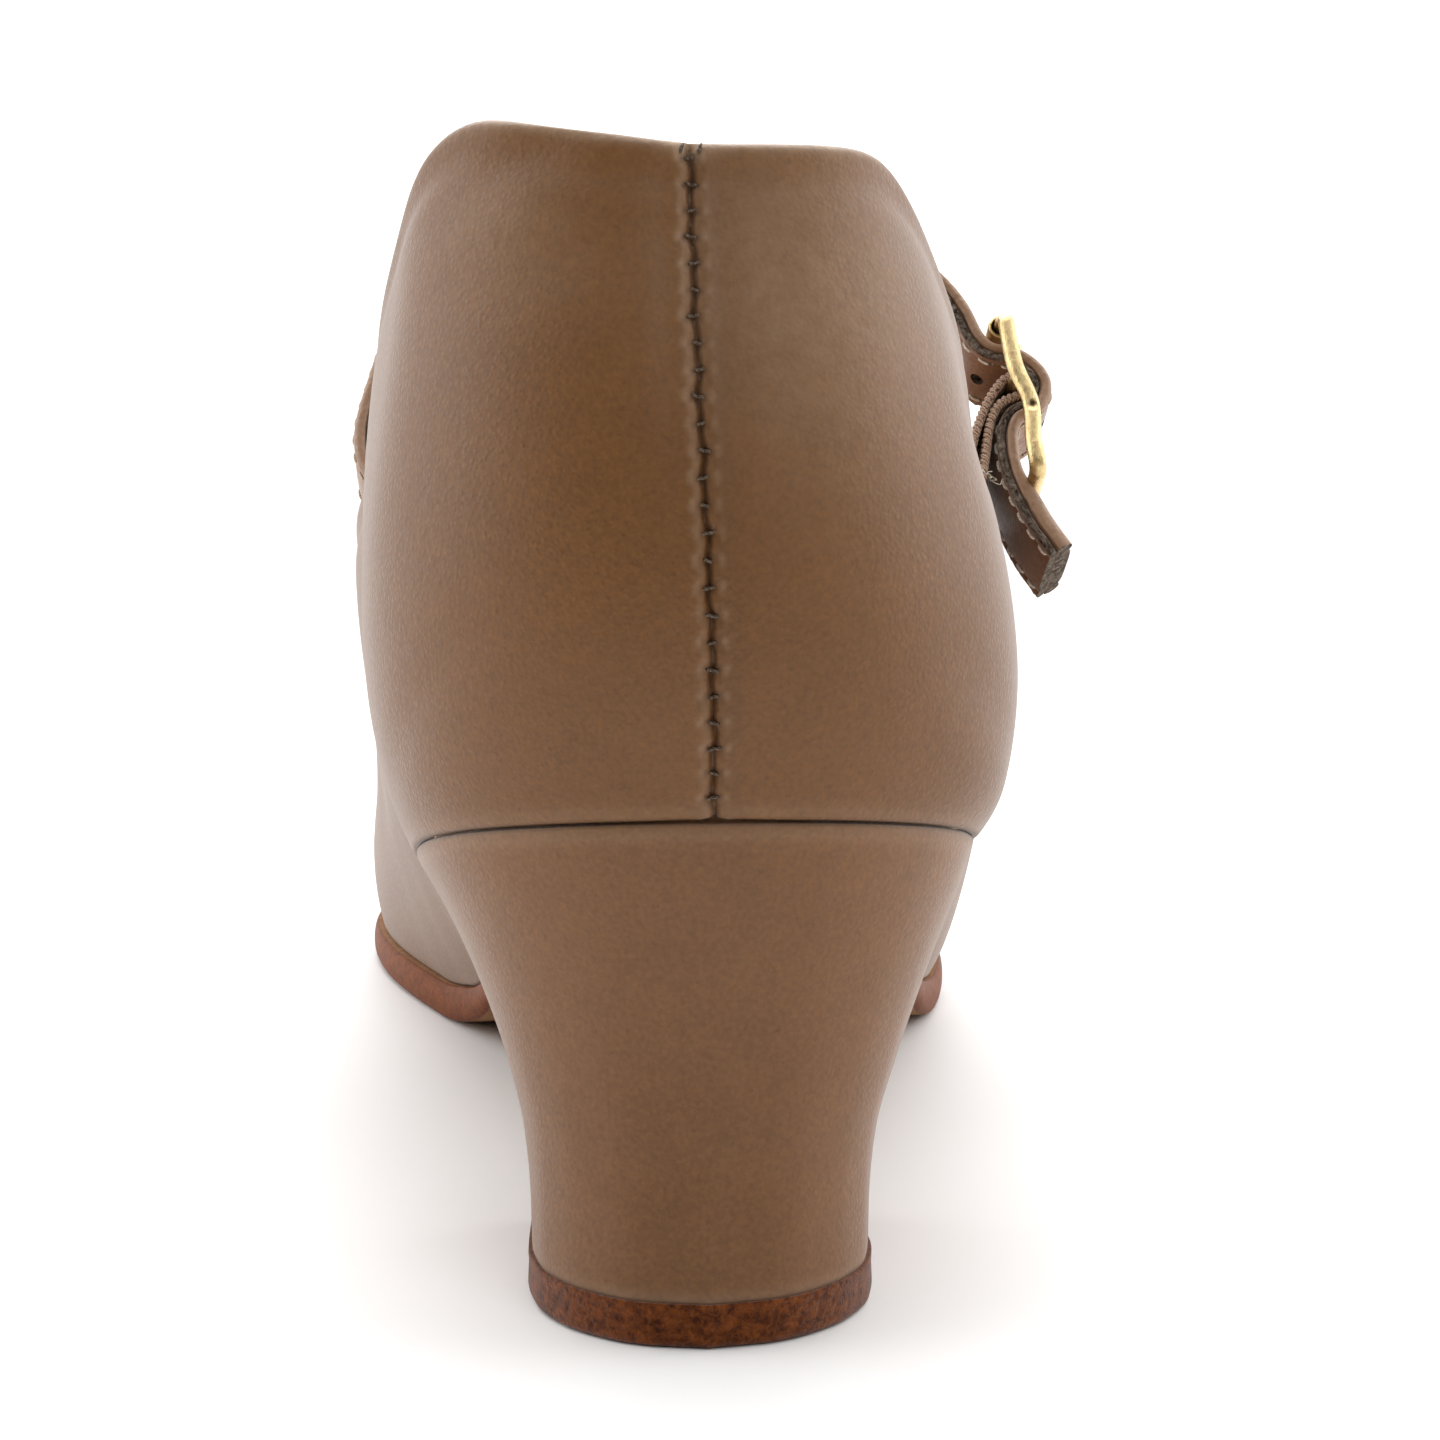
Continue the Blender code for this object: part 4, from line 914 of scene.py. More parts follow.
new_piece("back_seam_stitches", seam_points, seam_faces, [seam_thread])


# Collar stitches
# A lockstitch in cream thread that joins the lining to the folded edge of the quarters, all
# round the collar and the throat. It shows on the inside only.
COLLAR_PITCH = 2.5
COLLAR_LENGTH = 1.75
COLLAR_START = 1.5
COLLAR_ARCH = 0.10
COLLAR_SINK = 0.28
COLLAR_STITCH_POINTS = 6
COLLAR_THREAD_RADIUS = 0.16
SEWN_THREAD_SIDES = 7
# Colour of the thread, and of the painted highlight on its crests
COLLAR_THREAD = ((0.50, 0.41, 0.30), (0.78, 0.68, 0.54))


def read_path(where, gone, path):
    """Points of a path at distances along it."""
    return np.stack([np.interp(where, gone, path[:, i]) for i in range(path.shape[1])], axis=1)


seam_row = len(lining_front) - len(LINING_EDGE_ROWS)
collar_line = np.vstack([lining_front[seam_row], lining_front[seam_row, :1]])
collar_inward = np.vstack([-lining_normal[seam_row], -lining_normal[seam_row, :1]])
collar_steps = np.linalg.norm(np.diff(collar_line, axis=0), axis=1)
collar_gone = np.concatenate([[0.0], np.cumsum(collar_steps)])
collar_tubes = []
for start in np.arange(COLLAR_START, collar_gone[-1] - COLLAR_PITCH, COLLAR_PITCH):
    share = np.linspace(0.0, 1.0, COLLAR_STITCH_POINTS)
    where = start + share * COLLAR_LENGTH
    arch = COLLAR_ARCH - COLLAR_SINK * (2 * share - 1) ** 4
    inward = read_path(where, collar_gone, collar_inward) * arch[:, None]
    collar_tubes.append(tube_rows(read_path(where, collar_gone, collar_line) + inward,
                                  COLLAR_THREAD_RADIUS, SEWN_THREAD_SIDES))
collar_points, collar_faces = joined_tubes(collar_tubes)
new_piece("collar_stitches", collar_points, collar_faces,
          [spun_thread("collar_thread", *COLLAR_THREAD)])


# Insole sock
# A pale leather sock that covers the insole board from heel to toe, cut a hair smaller than
# the inside of the upper.
INSOLE_INSET = WALL + 0.06
INSOLE_END = 0.3
SOCK_COLOUR = (0.47, 0.335, 0.215)
SOCK_DEEP = (0.36, 0.24, 0.145)
SOCK_FINISH = (0.66, 0.0007, 0.00004)
SOCK_EDGE_ROWS = (
    # height, inset
    (0.0, 0.0), (1.3, 0.0), (1.65, 0.12), (1.8, 0.45),
)
SOCK_PLACES = 120
EDGE_SAMPLES = 1440
LEAST_WIDTH = 0.2


def feather_edge(margin):
    """The foot's outline moved out by a margin: its medial and its lateral side, back to toe."""
    length = section_loop()[0][-1]
    section = sections_at(np.linspace(0.0, length, EDGE_SAMPLES, endpoint=False))
    normal_x, normal_y = foot_normals(section)
    loop = np.stack([section["foot_x"] + normal_x * margin, section["foot_y"] + normal_y * margin],
                    axis=1)
    loop = np.roll(loop, -int(np.argmin(loop[:, 1])), axis=0)
    toe = int(np.argmax(loop[:, 1]))
    return np.vstack([loop[toe:], loop[:1]])[::-1], loop[:toe + 1]


def edge_span(margin):
    """Where the moved outline begins at the back and ends at the toe."""
    lateral = feather_edge(margin)[1]
    return lateral[0, 1], lateral[-1, 1]


def edge_width(along, margin):
    """The moved outline's medial and lateral places at places along the shoe."""
    medial, lateral = feather_edge(margin)
    return (np.interp(along, medial[:, 1], medial[:, 0]),
            np.interp(along, lateral[:, 1], lateral[:, 0]))


def cosine_places(start, end, count):
    """Places that crowd towards both ends, where an outline turns."""
    turn = np.linspace(0.0, math.pi, count)
    return start + (end - start) * (1 - np.cos(turn)) / 2


def paired_ring(along, medial, lateral, height):
    """Ring from the last place on the medial side to the back, and out on the lateral side."""
    left = np.stack([medial, along, height], axis=1)[::-1]
    right = np.stack([lateral, along, height], axis=1)
    return np.concatenate([left, right])


def rung_faces(count, first):
    """Quads across a ring whose points pair up over the shoe."""
    return [[first + i, first + i + 1, first + count - 2 - i, first + count - 1 - i]
            for i in range(count // 2 - 1)]


def rung_solid(name, levels, materials, **settings):
    """A solid through rings that pair up across the shoe."""
    levels = np.array(levels)
    rows, count = levels.shape[0:2]
    faces = grid_faces(rows, count, False, True)
    faces += rung_faces(count, 0) + rung_faces(count, (rows - 1) * count)
    return new_piece(name, levels, faces, materials, **settings)


sock_leather = dyed_leather("sock_leather", SOCK_COLOUR, SOCK_DEEP, SOCK_COLOUR, *SOCK_FINISH)
sock_back, sock_toe = edge_span(-INSOLE_INSET)
sock_along = cosine_places(sock_back + INSOLE_END, sock_toe - INSOLE_END, SOCK_PLACES)
sock_levels = []
for height, inset in SOCK_EDGE_ROWS:
    sock_medial, sock_lateral = edge_width(sock_along, -INSOLE_INSET - inset)
    sock_lateral = np.maximum(sock_lateral, sock_medial + LEAST_WIDTH)
    sock_levels.append(paired_ring(sock_along, sock_medial, sock_lateral,
                                   seat_height(sock_along) + height))
insole = rung_solid("insole_sock", sock_levels, [sock_leather], slot="sock_leather")
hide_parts("insole")


# Outsole
# One piece of sole leather from the heel breast to the toe, cemented under the upper. Its edge
# is trimmed, stained red-brown and burnished, and its face is left matt.
SOLE_THICKNESS = 4.5
WAIST_THICKNESS = 3.0
SKIVED_THICKNESS = 0.8
SOLE_SKIVE_END = 70.0
SOLE_MARGIN = 1.2
CAD_GAP = 0.3
GLUE_LINE = -0.05
SOLE_BREAST = 57.3
SOLE_SPREAD_ROWS = (
    # along, share of the way from the narrow waist to the full edge
    (57.0, 0.0), (85.0, 0.25), (140.0, 1.0), (240.0, 1.0),
)
SOLE_THIN_END = 100.0
SOLE_FULL_START = 126.0
WAIST_INSET = 0.6
SOLE_EDGE_ROWS = (
    # depth, inset
    (0.0, 0.45), (0.03, 0.18), (0.10, 0.0), (0.22, -0.16), (0.36, -0.25), (0.50, -0.27),
    (0.64, -0.24), (0.76, -0.14), (0.86, 0.06), (0.93, 0.30), (0.975, 0.58), (1.0, 0.95),
)
SOLE_FLAT_END = 176.0
SOLE_TOE_EASE = 0.02
SOLE_PLACES = 150
CUT_LEATHER_SPECULAR = 0.06
CUT_SHEEN_ROUGHNESS = 0.4
SPECK_SIZE = 1.7
SOLE_STAIN = (0.215, 0.058, 0.011)
SOLE_STAIN_DEEP = (0.105, 0.025, 0.005)
SOLE_FACE = (0.36, 0.20, 0.105)
SOLE_FACE_DEEP = (0.24, 0.12, 0.06)
# Roughness, fibre size, fibre depth and how the fibres are drawn out in x, y and z
SOLE_EDGE_FINISH = (0.46, 0.0008, 0.00006, (1.0, 1.0, 2.4))
SOLE_FACE_FINISH = (0.78, 0.0011, 0.00008, (1.6, 0.7, 1.0))


def fibre_leather(name, colour, deep, roughness, size, depth, stretch, sheen=0.0):
    """Dense cut or buffed leather: short fibres, speckled light and dark."""
    material, tree, shader = new_material(name, roughness, specular=CUT_LEATHER_SPECULAR)
    feed(tree, shader.inputs["Sheen Weight"], sheen)
    feed(tree, shader.inputs["Sheen Roughness"], CUT_SHEEN_ROUGHNESS)
    spread = add_node(tree, "VectorMath", operation="MULTIPLY")
    feed(tree, spread.inputs[0], scaled_place(tree, size))
    feed(tree, spread.inputs[1], stretch)
    fibres = noise(tree, spread.outputs[0], detail=5.0, roughness=0.7, distortion=0.8)
    specks = noise(tree, scaled_place(tree, size * SPECK_SIZE), detail=2.0)
    share = calculate(tree, "ADD", remap(tree, fibres, 0.35, 0.65, 0.0, 0.7),
                      remap(tree, specks, 0.4, 0.6, -0.1, 0.3))
    feed(tree, shader.inputs["Base Color"], mix_colours(tree, share, deep, colour))
    add_bump(tree, shader, fibres, depth)
    return material


sole_edge = fibre_leather("sole_edge", SOLE_STAIN, SOLE_STAIN_DEEP, *SOLE_EDGE_FINISH)
sole_face = fibre_leather("sole_face", SOLE_FACE, SOLE_FACE_DEEP, *SOLE_FACE_FINISH)
sole_toe = edge_span(SOLE_MARGIN)[1]
sole_turn = np.linspace(0.0, math.pi / 2, SOLE_PLACES)
sole_places = SOLE_BREAST + (sole_toe - SOLE_BREAST) * np.sin(sole_turn)
sole_spread = np.array(SOLE_SPREAD_ROWS)
sole_levels = []
for depth, inset in SOLE_EDGE_ROWS:
    ahead = np.maximum(sole_places - SOLE_FLAT_END, 0.0) / (sole_toe - SOLE_FLAT_END)
    along = sole_places + ahead * (edge_span(SOLE_MARGIN - inset)[1] - SOLE_TOE_EASE - sole_toe)
    narrow = edge_width(along, -WAIST_INSET - inset)
    wide = edge_width(along, SOLE_MARGIN - inset)
    share = steady_curve(sole_spread[:, 0], sole_spread[:, 1], along)
    thickness = steady_curve((SOLE_BREAST, SOLE_SKIVE_END, SOLE_THIN_END, SOLE_FULL_START, sole_toe),
                             (SKIVED_THICKNESS, WAIST_THICKNESS, WAIST_THICKNESS, SOLE_THICKNESS,
                              SOLE_THICKNESS), along)
    height = seat_height(along) - GLUE_LINE - (thickness + CAD_GAP - GLUE_LINE) * depth
    left = narrow[0] + (wide[0] - narrow[0]) * share
    right = narrow[1] + (wide[1] - narrow[1]) * share
    sole_levels.append(paired_ring(along, left, np.maximum(right, left + LEAST_WIDTH), height))
outsole = rung_solid("outsole_leather", sole_levels, [sole_edge, sole_face], slot="sole_leather")
ring_size = len(sole_levels[0])
side_faces = (len(sole_levels) - 1) * ring_size
for polygon in outsole.data.polygons[side_faces:]:
    polygon.material_index = 1
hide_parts("outsole")


# Heel
# A low flared block with a curved breast, covered in one piece of the upper's leather that is
# stretched round it, glued, and turned in under the seat and over the breast's corners.
HEEL_ROWS = (
    # drop, medial half width, lateral half width, back, breast
    (0.00, 25.8, 26.6, 3.5, 57.0),
    (0.12, 23.3, 24.8, 4.1, 53.0),
    (0.25, 21.0, 22.6, 4.9, 49.3),
    (0.40, 18.8, 20.3, 5.7, 46.0),
    (0.55, 17.0, 18.2, 6.1, 43.5),
    (0.70, 15.7, 16.4, 6.0, 42.0),
    (0.85, 15.1, 15.6, 5.3, 41.1),
    (1.00, 14.9, 15.3, 4.5, 40.6),
)
HEEL_BACK_WIDTH = 0.2
HEEL_CORNER = 1.1
HEEL_LEVELS = 56
HEEL_TOP_EDGE = (
    # drop, inset
    (0.0, 0.35), (0.004, 0.1), (0.012, 0.0),
)
HEEL_LOW_EDGE = ((0.994, 0.02), (1.0, 0.08))
HEEL_SIDE = (0.03, 0.985)
HEEL_PLACES = 44
HEEL_FLAT_PLACES = 12
HEEL_CORNER_PLACES = (0.0, 0.0008, 0.003, 0.007, 0.013)
LIFT_OUTLINE = (
    # share of the length, share of the half width
    (0.0, 0.0), (0.03, 0.36), (0.08, 0.58), (0.17, 0.80), (0.3, 0.95), (0.45, 1.0),
    (0.7, 0.985), (1.0, 0.92),
)
LIFT_THICKNESS = 3.8
HEEL_COLOUR = (0.166, 0.072, 0.0240)
HEEL_DEEP = (0.124, 0.0515, 0.0162)
HEEL_FINISH = (0.52, 0.00048, 0.000034)
# Painted shade in the joints at the cover's ends, and paler leather beside them: painted highlight on
# the rounded edges, with rubbed wear. Strength, place where it has one, width
HEEL_TOP_DARK = (0.9, 0.009)
HEEL_LOW_DARK = (0.5, 0.008)
HEEL_TOP_PALE = (0.16, 0.02, 0.02)
HEEL_LOW_PALE = (0.30, 0.02)


def lift_share(share):
    """Half width of the D-shaped lift as a share of its widest, from back to breast."""
    table = np.array(LIFT_OUTLINE)
    return steady_curve(table[:, 0], table[:, 1], share)


def heel_ring(drop, share, inset):
    """One level of the heel block between the seat line and the top lift."""
    table = np.array(HEEL_ROWS)
    medial_half, lateral_half, back, breast = (
        float(steady_curve(table[:, 0], table[:, i], drop)) for i in range(1, 5))
    seat_back, seat_breast = HEEL_ROWS[0][3], HEEL_ROWS[0][4]
    seat_along = seat_back + share * (seat_breast - seat_back)
    seat_medial, seat_lateral = edge_width(seat_along, 0.0)
    low = lift_share(share)
    along = back + inset + share * (breast - back - 2 * inset)
    corner = come_in(breast - inset - along, HEEL_CORNER) + inset
    left = -((1 - drop) * (-seat_medial / HEEL_ROWS[0][1]) + drop * low) * medial_half
    right = ((1 - drop) * (seat_lateral / HEEL_ROWS[0][2]) + drop * low) * lateral_half
    left = np.minimum(left + corner, -HEEL_BACK_WIDTH)
    right = np.maximum(right - corner, HEEL_BACK_WIDTH)
    top = seat_height(seat_along) - GLUE_LINE
    bottom = LIFT_THICKNESS + GLUE_LINE
    return paired_ring(along, left, right, top + (bottom - top) * drop)


heel_leather = dyed_leather("heel_leather", HEEL_COLOUR, HEEL_DEEP, LEATHER_WORN_AND_LIT,
                            *HEEL_FINISH, ("groove", "wear_and_highlight"))
heel_share = 1 - np.cos(np.linspace(0.0, math.pi / 2, HEEL_PLACES))
heel_flat = np.linspace(heel_share[-HEEL_FLAT_PLACES // 2], 1.0, HEEL_FLAT_PLACES)
heel_share = np.unique(np.concatenate([heel_share[:-HEEL_FLAT_PLACES // 2], heel_flat,
                                       1 - np.array(HEEL_CORNER_PLACES)]))
heel_side = [(drop, 0.0) for drop in np.linspace(*HEEL_SIDE, HEEL_LEVELS)]
heel_rows = [*HEEL_TOP_EDGE, *heel_side, *HEEL_LOW_EDGE]
heel_levels = [heel_ring(drop, heel_share, inset) for drop, inset in heel_rows]
heel = rung_solid("heel_cover", heel_levels, [heel_leather], slot="heel_leather")
from_seat = np.repeat([drop for drop, _ in heel_rows], len(heel_levels[0]))
# Painted shade in the joints with the upper and the top lift, and painted highlight with wear on the
# edges beside them
set_mask(heel, "groove", HEEL_TOP_DARK[0] * bell(from_seat, HEEL_TOP_DARK[1])
         + HEEL_LOW_DARK[0] * bell(1 - from_seat, HEEL_LOW_DARK[1]))
set_mask(heel, "wear_and_highlight", HEEL_TOP_PALE[0] * bell(from_seat - HEEL_TOP_PALE[1], HEEL_TOP_PALE[2])
         + HEEL_LOW_PALE[0] * bell(1 - from_seat, HEEL_LOW_PALE[1]))
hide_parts("heel")


# Top lift
# The wear piece under the heel: a D of pressed leather board, glued and trimmed flush with the
# cover. Its edge is stained red-brown and feels grainy, and its lower edge is eased.
LIFT_BACK = 4.3
LIFT_BREAST = 40.8
LIFT_MEDIAL = 15.2
LIFT_LATERAL = 15.6
LIFT_CORNER = 1.0
LIFT_PLACES = 60
LIFT_CORNER_PLACES = (0.0, 0.001, 0.004, 0.009, 0.016)
LIFT_EDGE_ROWS = (
    # height, inset
    (3.8, 0.03), (3.72, -0.02), (3.4, -0.04), (2.7, 0.0), (2.0, -0.03), (1.3, -0.06), (0.7, -0.08),
    (0.38, -0.02), (0.16, 0.12), (0.04, 0.3), (0.0, 0.55),
)
LIFT_COLOUR = (0.225, 0.062, 0.013)
LIFT_DEEP = (0.045, 0.010, 0.002)
LIFT_FINISH = (0.66, 0.00055, 0.00020, (1.0, 1.0, 1.0))
LIFT_SHEEN = 0.30

lift_board = fibre_leather("lift_board", LIFT_COLOUR, LIFT_DEEP, *LIFT_FINISH, sheen=LIFT_SHEEN)
lift_places = 1 - np.cos(np.linspace(0.0, math.pi / 2, LIFT_PLACES))
lift_places = np.unique(np.concatenate([lift_places, 1 - np.array(LIFT_CORNER_PLACES)]))
lift_levels = []
for height, inset in LIFT_EDGE_ROWS:
    along = LIFT_BACK + inset + lift_places * (LIFT_BREAST - LIFT_BACK - 2 * inset)
    corner = come_in(LIFT_BREAST - inset - along, LIFT_CORNER) + inset
    half = lift_share(lift_places)
    left = np.minimum(-half * LIFT_MEDIAL + corner, -HEEL_BACK_WIDTH)
    right = np.maximum(half * LIFT_LATERAL - corner, HEEL_BACK_WIDTH)
    lift_levels.append(paired_ring(along, left, right, np.full_like(along, height)))
top_lift = rung_solid("top_lift_board", lift_levels, [lift_board], slot="lift_leather")
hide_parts("top_lift")


# Instep strap
# A narrow band sewn inside the inner quarter: a face of the upper's leather with both edges
# turned, over a core whose cut edge is left raw, lined in brown leather.
STRAP_LEAN = math.radians(34.0)
STRAP_PLANE_ALONG = 88.0
STRAP_PLANE_HEIGHT = 66.0
STRAP_ROUTE = (
    # across, up_strap, on the middle of the strap's thickness
    (-28.0, -14.0), (-29.3, -7.5), (-30.3, -1.6), (-31.3, 2.0), (-33.1, 5.2), (-33.9, 9.0),
    (-33.6, 12.5), (-32.6, 17.0), (-30.9, 23.5), (-27.4, 31.0), (-21.0, 38.0),
    (-12.0, 42.6), (0.0, 44.6), (12.0, 43.6), (22.0, 40.2), (29.5, 35.6),
    (34.2, 30.4), (36.2, 26.4), (37.3, 23.2), (38.9, 21.4), (41.2, 20.8),
    (43.3, 19.4), (44.5, 17.1), (44.1, 14.8), (42.6, 13.2), (41.2, 12.4),
    (40.2, 10.8), (39.8, 8.0), (40.0, 4.8), (41.0, 1.0), (42.4, -2.6), (44.3, -6.2),
)
STRAP_SAMPLES = 420
# The strap's loose end is a little thicker, eased in over a length
TAIL_LENGTH = 12.5
TAIL_EASE = 6.0
TAIL_SWELL = 0.55
# Half sections of the face and of the core and lining: lift from the middle, sideways
STRAP_FACE_SECTION = (
    (-0.22, 2.0), (-0.22, 4.2), (-0.20, 4.75), (-0.02, 5.05), (0.28, 5.2), (0.62, 5.18), (0.92, 5.0),
    (1.12, 4.7), (1.20, 4.35), (1.17, 4.05), (1.08, 3.85), (1.05, 3.7), (1.09, 3.5), (1.18, 3.2),
    (1.25, 2.5), (1.29, 1.3),
)
STRAP_CORE_SECTION = (
    (-0.30, 1.6), (-0.30, 3.6), (-0.32, 4.7), (-0.45, 4.95), (-0.62, 5.0), (-0.80, 4.93),
    (-0.98, 4.98), (-1.14, 4.86), (-1.24, 4.6), (-1.25, 4.3), (-1.20, 4.0), (-1.13, 3.82),
    (-1.12, 3.7), (-1.17, 3.5), (-1.25, 3.2), (-1.3, 2.0),
)
STRAP_FACE_COLOUR = (0.225, 0.118, 0.062)
STRAP_FACE_DEEP = (0.13, 0.064, 0.031)
STRAP_FACE_FINISH = (0.42, 0.0008, 0.00009)
# Painted highlight along the face's rounded turned edges: strength, place from the middle, half width
TURNED_EDGE_HIGHLIGHT = (0.28, 5.1, 0.25)
# Holes for the prong, at places of the route
STRAP_HOLES = ((38.7, 21.6), (42.6, 20.0), (44.4, 14.6))
STRAP_HOLE_RADIUS = 0.85
STRAP_HOLE_REACH = 2.4
STRAP_HOLE_SIDES = 24
STRAP_LINING_COLOUR = (0.20, 0.098, 0.052)
STRAP_LINING_DEEP = (0.12, 0.056, 0.030)
STRAP_LINING_FINISH = (0.5, 0.0006, 0.00004)
RAW_COLOUR = (0.27, 0.215, 0.17)
RAW_DEEP = (0.030, 0.020, 0.014)
RAW_FINISH = (0.9, 0.0005, 0.00040, (1.0, 1.0, 1.0))
RAW_FROM_MIDDLE = 4.65
RAW_FROM_LIFT = -1.2
RAW_UNEVEN = 0.09
RAW_SEED = 7


def strap_point(across, up_strap, sideways):
    """A point of the strap's leaning plane, in millimetres on the last."""
    along = STRAP_PLANE_ALONG + up_strap * math.sin(STRAP_LEAN) + sideways * math.cos(STRAP_LEAN)
    height = STRAP_PLANE_HEIGHT + up_strap * math.cos(STRAP_LEAN) - sideways * math.sin(STRAP_LEAN)
    return np.stack(np.broadcast_arrays(across, along, height), axis=-1)


def smooth_route(route, samples):
    """A route's evenly stepped curve, its outward directions and its distance along."""
    route = np.array(route)
    places = np.concatenate([[0.0], np.cumsum(np.linalg.norm(np.diff(route, axis=0), axis=1))])
    path = spline(places, route, np.linspace(0.0, places[-1], samples), closed=False)
    run = np.gradient(path, axis=0)
    run = run / np.linalg.norm(run, axis=1)[:, None]
    gone = np.concatenate([[0.0], np.cumsum(np.linalg.norm(np.diff(path, axis=0), axis=1))])
    return path, np.stack([-run[:, 1], run[:, 0]], axis=1), gone


def band_points(path, out, lift, sideways):
    """Points beside a route at lifts and sideways places, one ring for each of its samples."""
    across = path[:, 0, None] + out[:, 0, None] * lift
    up_strap = path[:, 1, None] + out[:, 1, None] * lift
    return strap_point(across, up_strap, np.broadcast_to(sideways, across.shape))


def whole_section(half_section):
    """A half section and its mirror image as one closed outline."""
    half = np.array(half_section)
    other = half[::-1] * np.array([1.0, -1.0])
    return np.concatenate([half, other])


def closed_band(name, rings, materials, slot):
    """A swept band with a flat face at each end, the end faces in the last material."""
    rows, count = rings.shape[0:2]
    faces = grid_faces(rows, count, False, True)
    faces.append(list(range(count)))
    faces.append([(rows - 1) * count + i for i in range(count)])
    piece = new_piece(name, rings, faces, materials, slot=slot)
    for polygon in piece.data.polygons[len(faces) - 2:]:
        polygon.material_index = len(materials) - 1
    return piece


strap_leather = dyed_leather("strap_leather", STRAP_FACE_COLOUR, STRAP_FACE_DEEP, LEATHER_WORN_AND_LIT,
                             *STRAP_FACE_FINISH, ("wear_and_highlight",))
strap_lining = dyed_leather("strap_lining", STRAP_LINING_COLOUR, STRAP_LINING_DEEP,
                            STRAP_LINING_COLOUR, *STRAP_LINING_FINISH)
raw_edge = fibre_leather("raw_edge", RAW_COLOUR, RAW_DEEP, *RAW_FINISH)
strap_path, strap_out, strap_gone = smooth_route(STRAP_ROUTE, STRAP_SAMPLES)
face_section = whole_section(STRAP_FACE_SECTION)
tail_share = np.clip((strap_gone - strap_gone[-1] + TAIL_LENGTH) / TAIL_EASE, 0.0, 1.0)
tail_swell = 1 + TAIL_SWELL * tail_share * tail_share * (3 - 2 * tail_share)
face_lift = np.where(face_section[:, 0] > 0, face_section[:, 0] * tail_swell[:, None],
                     face_section[:, 0])
face_rings = band_points(strap_path, strap_out, face_lift, face_section[:, 1])
strap_face = closed_band("strap_face", face_rings, [strap_leather, raw_edge], "strap_leather")
from_turned_edge = np.abs(face_section[:, 1]) - TURNED_EDGE_HIGHLIGHT[1]
# Painted highlight on the face's rounded turned edges
face_edge_highlight = TURNED_EDGE_HIGHLIGHT[0] * bell(from_turned_edge, TURNED_EDGE_HIGHLIGHT[2])
set_mask(strap_face, "wear_and_highlight", np.tile(face_edge_highlight, (STRAP_SAMPLES, 1)))
core_section = whole_section(STRAP_CORE_SECTION)
core_sideways = np.tile(core_section[:, 1], (STRAP_SAMPLES, 1))
core_is_raw = (np.abs(core_section[:, 1]) > RAW_FROM_MIDDLE) & (core_section[:, 0] > RAW_FROM_LIFT)
fray = np.random.default_rng(RAW_SEED).normal(0.0, RAW_UNEVEN, core_sideways.shape)
core_sideways = core_sideways + fray * core_is_raw * np.sign(core_section[:, 1])
core_rings = band_points(strap_path, strap_out, core_section[:, 0], core_sideways)
strap_core = closed_band("strap_core", core_rings, [strap_lining, raw_edge], "strap_leather")
core_faces = (STRAP_SAMPLES - 1) * len(core_section)
raw_column = core_is_raw | np.roll(core_is_raw, -1)
for number, polygon in enumerate(strap_core.data.polygons[:core_faces]):
    if raw_column[number % len(core_section)]:
        polygon.material_index = 1
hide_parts("strap")


def punch(piece, cutter):
    """Cut a hole through a piece."""
    cut = piece.modifiers.new("hole", "BOOLEAN")
    cut.operation = "DIFFERENCE"
    cut.solver = "EXACT"
    cut.object = cutter
    bpy.context.view_layer.update()
    made = piece.evaluated_get(bpy.context.evaluated_depsgraph_get())
    mesh = bpy.data.meshes.new_from_object(made)
    piece.modifiers.remove(cut)
    piece.data = mesh


for place in STRAP_HOLES:
    nearest = int(np.argmin(np.linalg.norm(strap_path - np.array(place), axis=1)))
    out = strap_out[nearest]
    run = np.array([out[1], -out[0]])
    turn = np.linspace(0.0, 2 * math.pi, STRAP_HOLE_SIDES, endpoint=False)
    rings = []
    for reach in (-STRAP_HOLE_REACH, STRAP_HOLE_REACH):
        centre = strap_path[nearest] + out * reach
        side = np.cos(turn)[:, None] * run * STRAP_HOLE_RADIUS + centre
        rings.append(strap_point(side[:, 0], side[:, 1], np.sin(turn) * STRAP_HOLE_RADIUS))
    hole_faces = grid_faces(2, STRAP_HOLE_SIDES, False, True)
    hole_faces.append(list(range(STRAP_HOLE_SIDES)))
    hole_faces.append(list(range(STRAP_HOLE_SIDES, 2 * STRAP_HOLE_SIDES)))
    hole_mesh = closed_mesh("hole_cutter", rings, hole_faces)
    hole_mesh.materials.append(raw_edge)
    cutter = bpy.data.objects.new("hole_cutter", hole_mesh)
    scene.collection.objects.link(cutter)
    punch(strap_face, cutter)
    punch(strap_core, cutter)
    bpy.data.objects.remove(cutter)


# Strap stitches
# A lockstitch near each edge of the strap, in tan thread on its face and cream thread on its
# lining, with every stitch pulled into a shallow channel.
STITCH_PITCH = 2.3
STITCH_LENGTH = 1.6
STITCH_RADIUS = 0.17
STITCH_FROM_MIDDLE = 3.72
STITCH_START = 12.0
STITCH_END_GAP = 0.6
STITCH_POINTS = 7
STITCH_ARCH = 0.16
STITCH_SINK = 2.2
# Each thread: its colour, and the colour of the painted highlight on its crests
FACE_THREAD = ((0.42, 0.30, 0.20), (0.62, 0.49, 0.36))
LINING_THREAD = ((0.55, 0.47, 0.36), (0.82, 0.74, 0.62))
STRAP_STITCHES = (
    # piece, lift from the middle of the strap, thread
    ("strap_face_stitches", 1.10, FACE_THREAD),
    ("strap_lining_stitches", -1.16, LINING_THREAD),
)

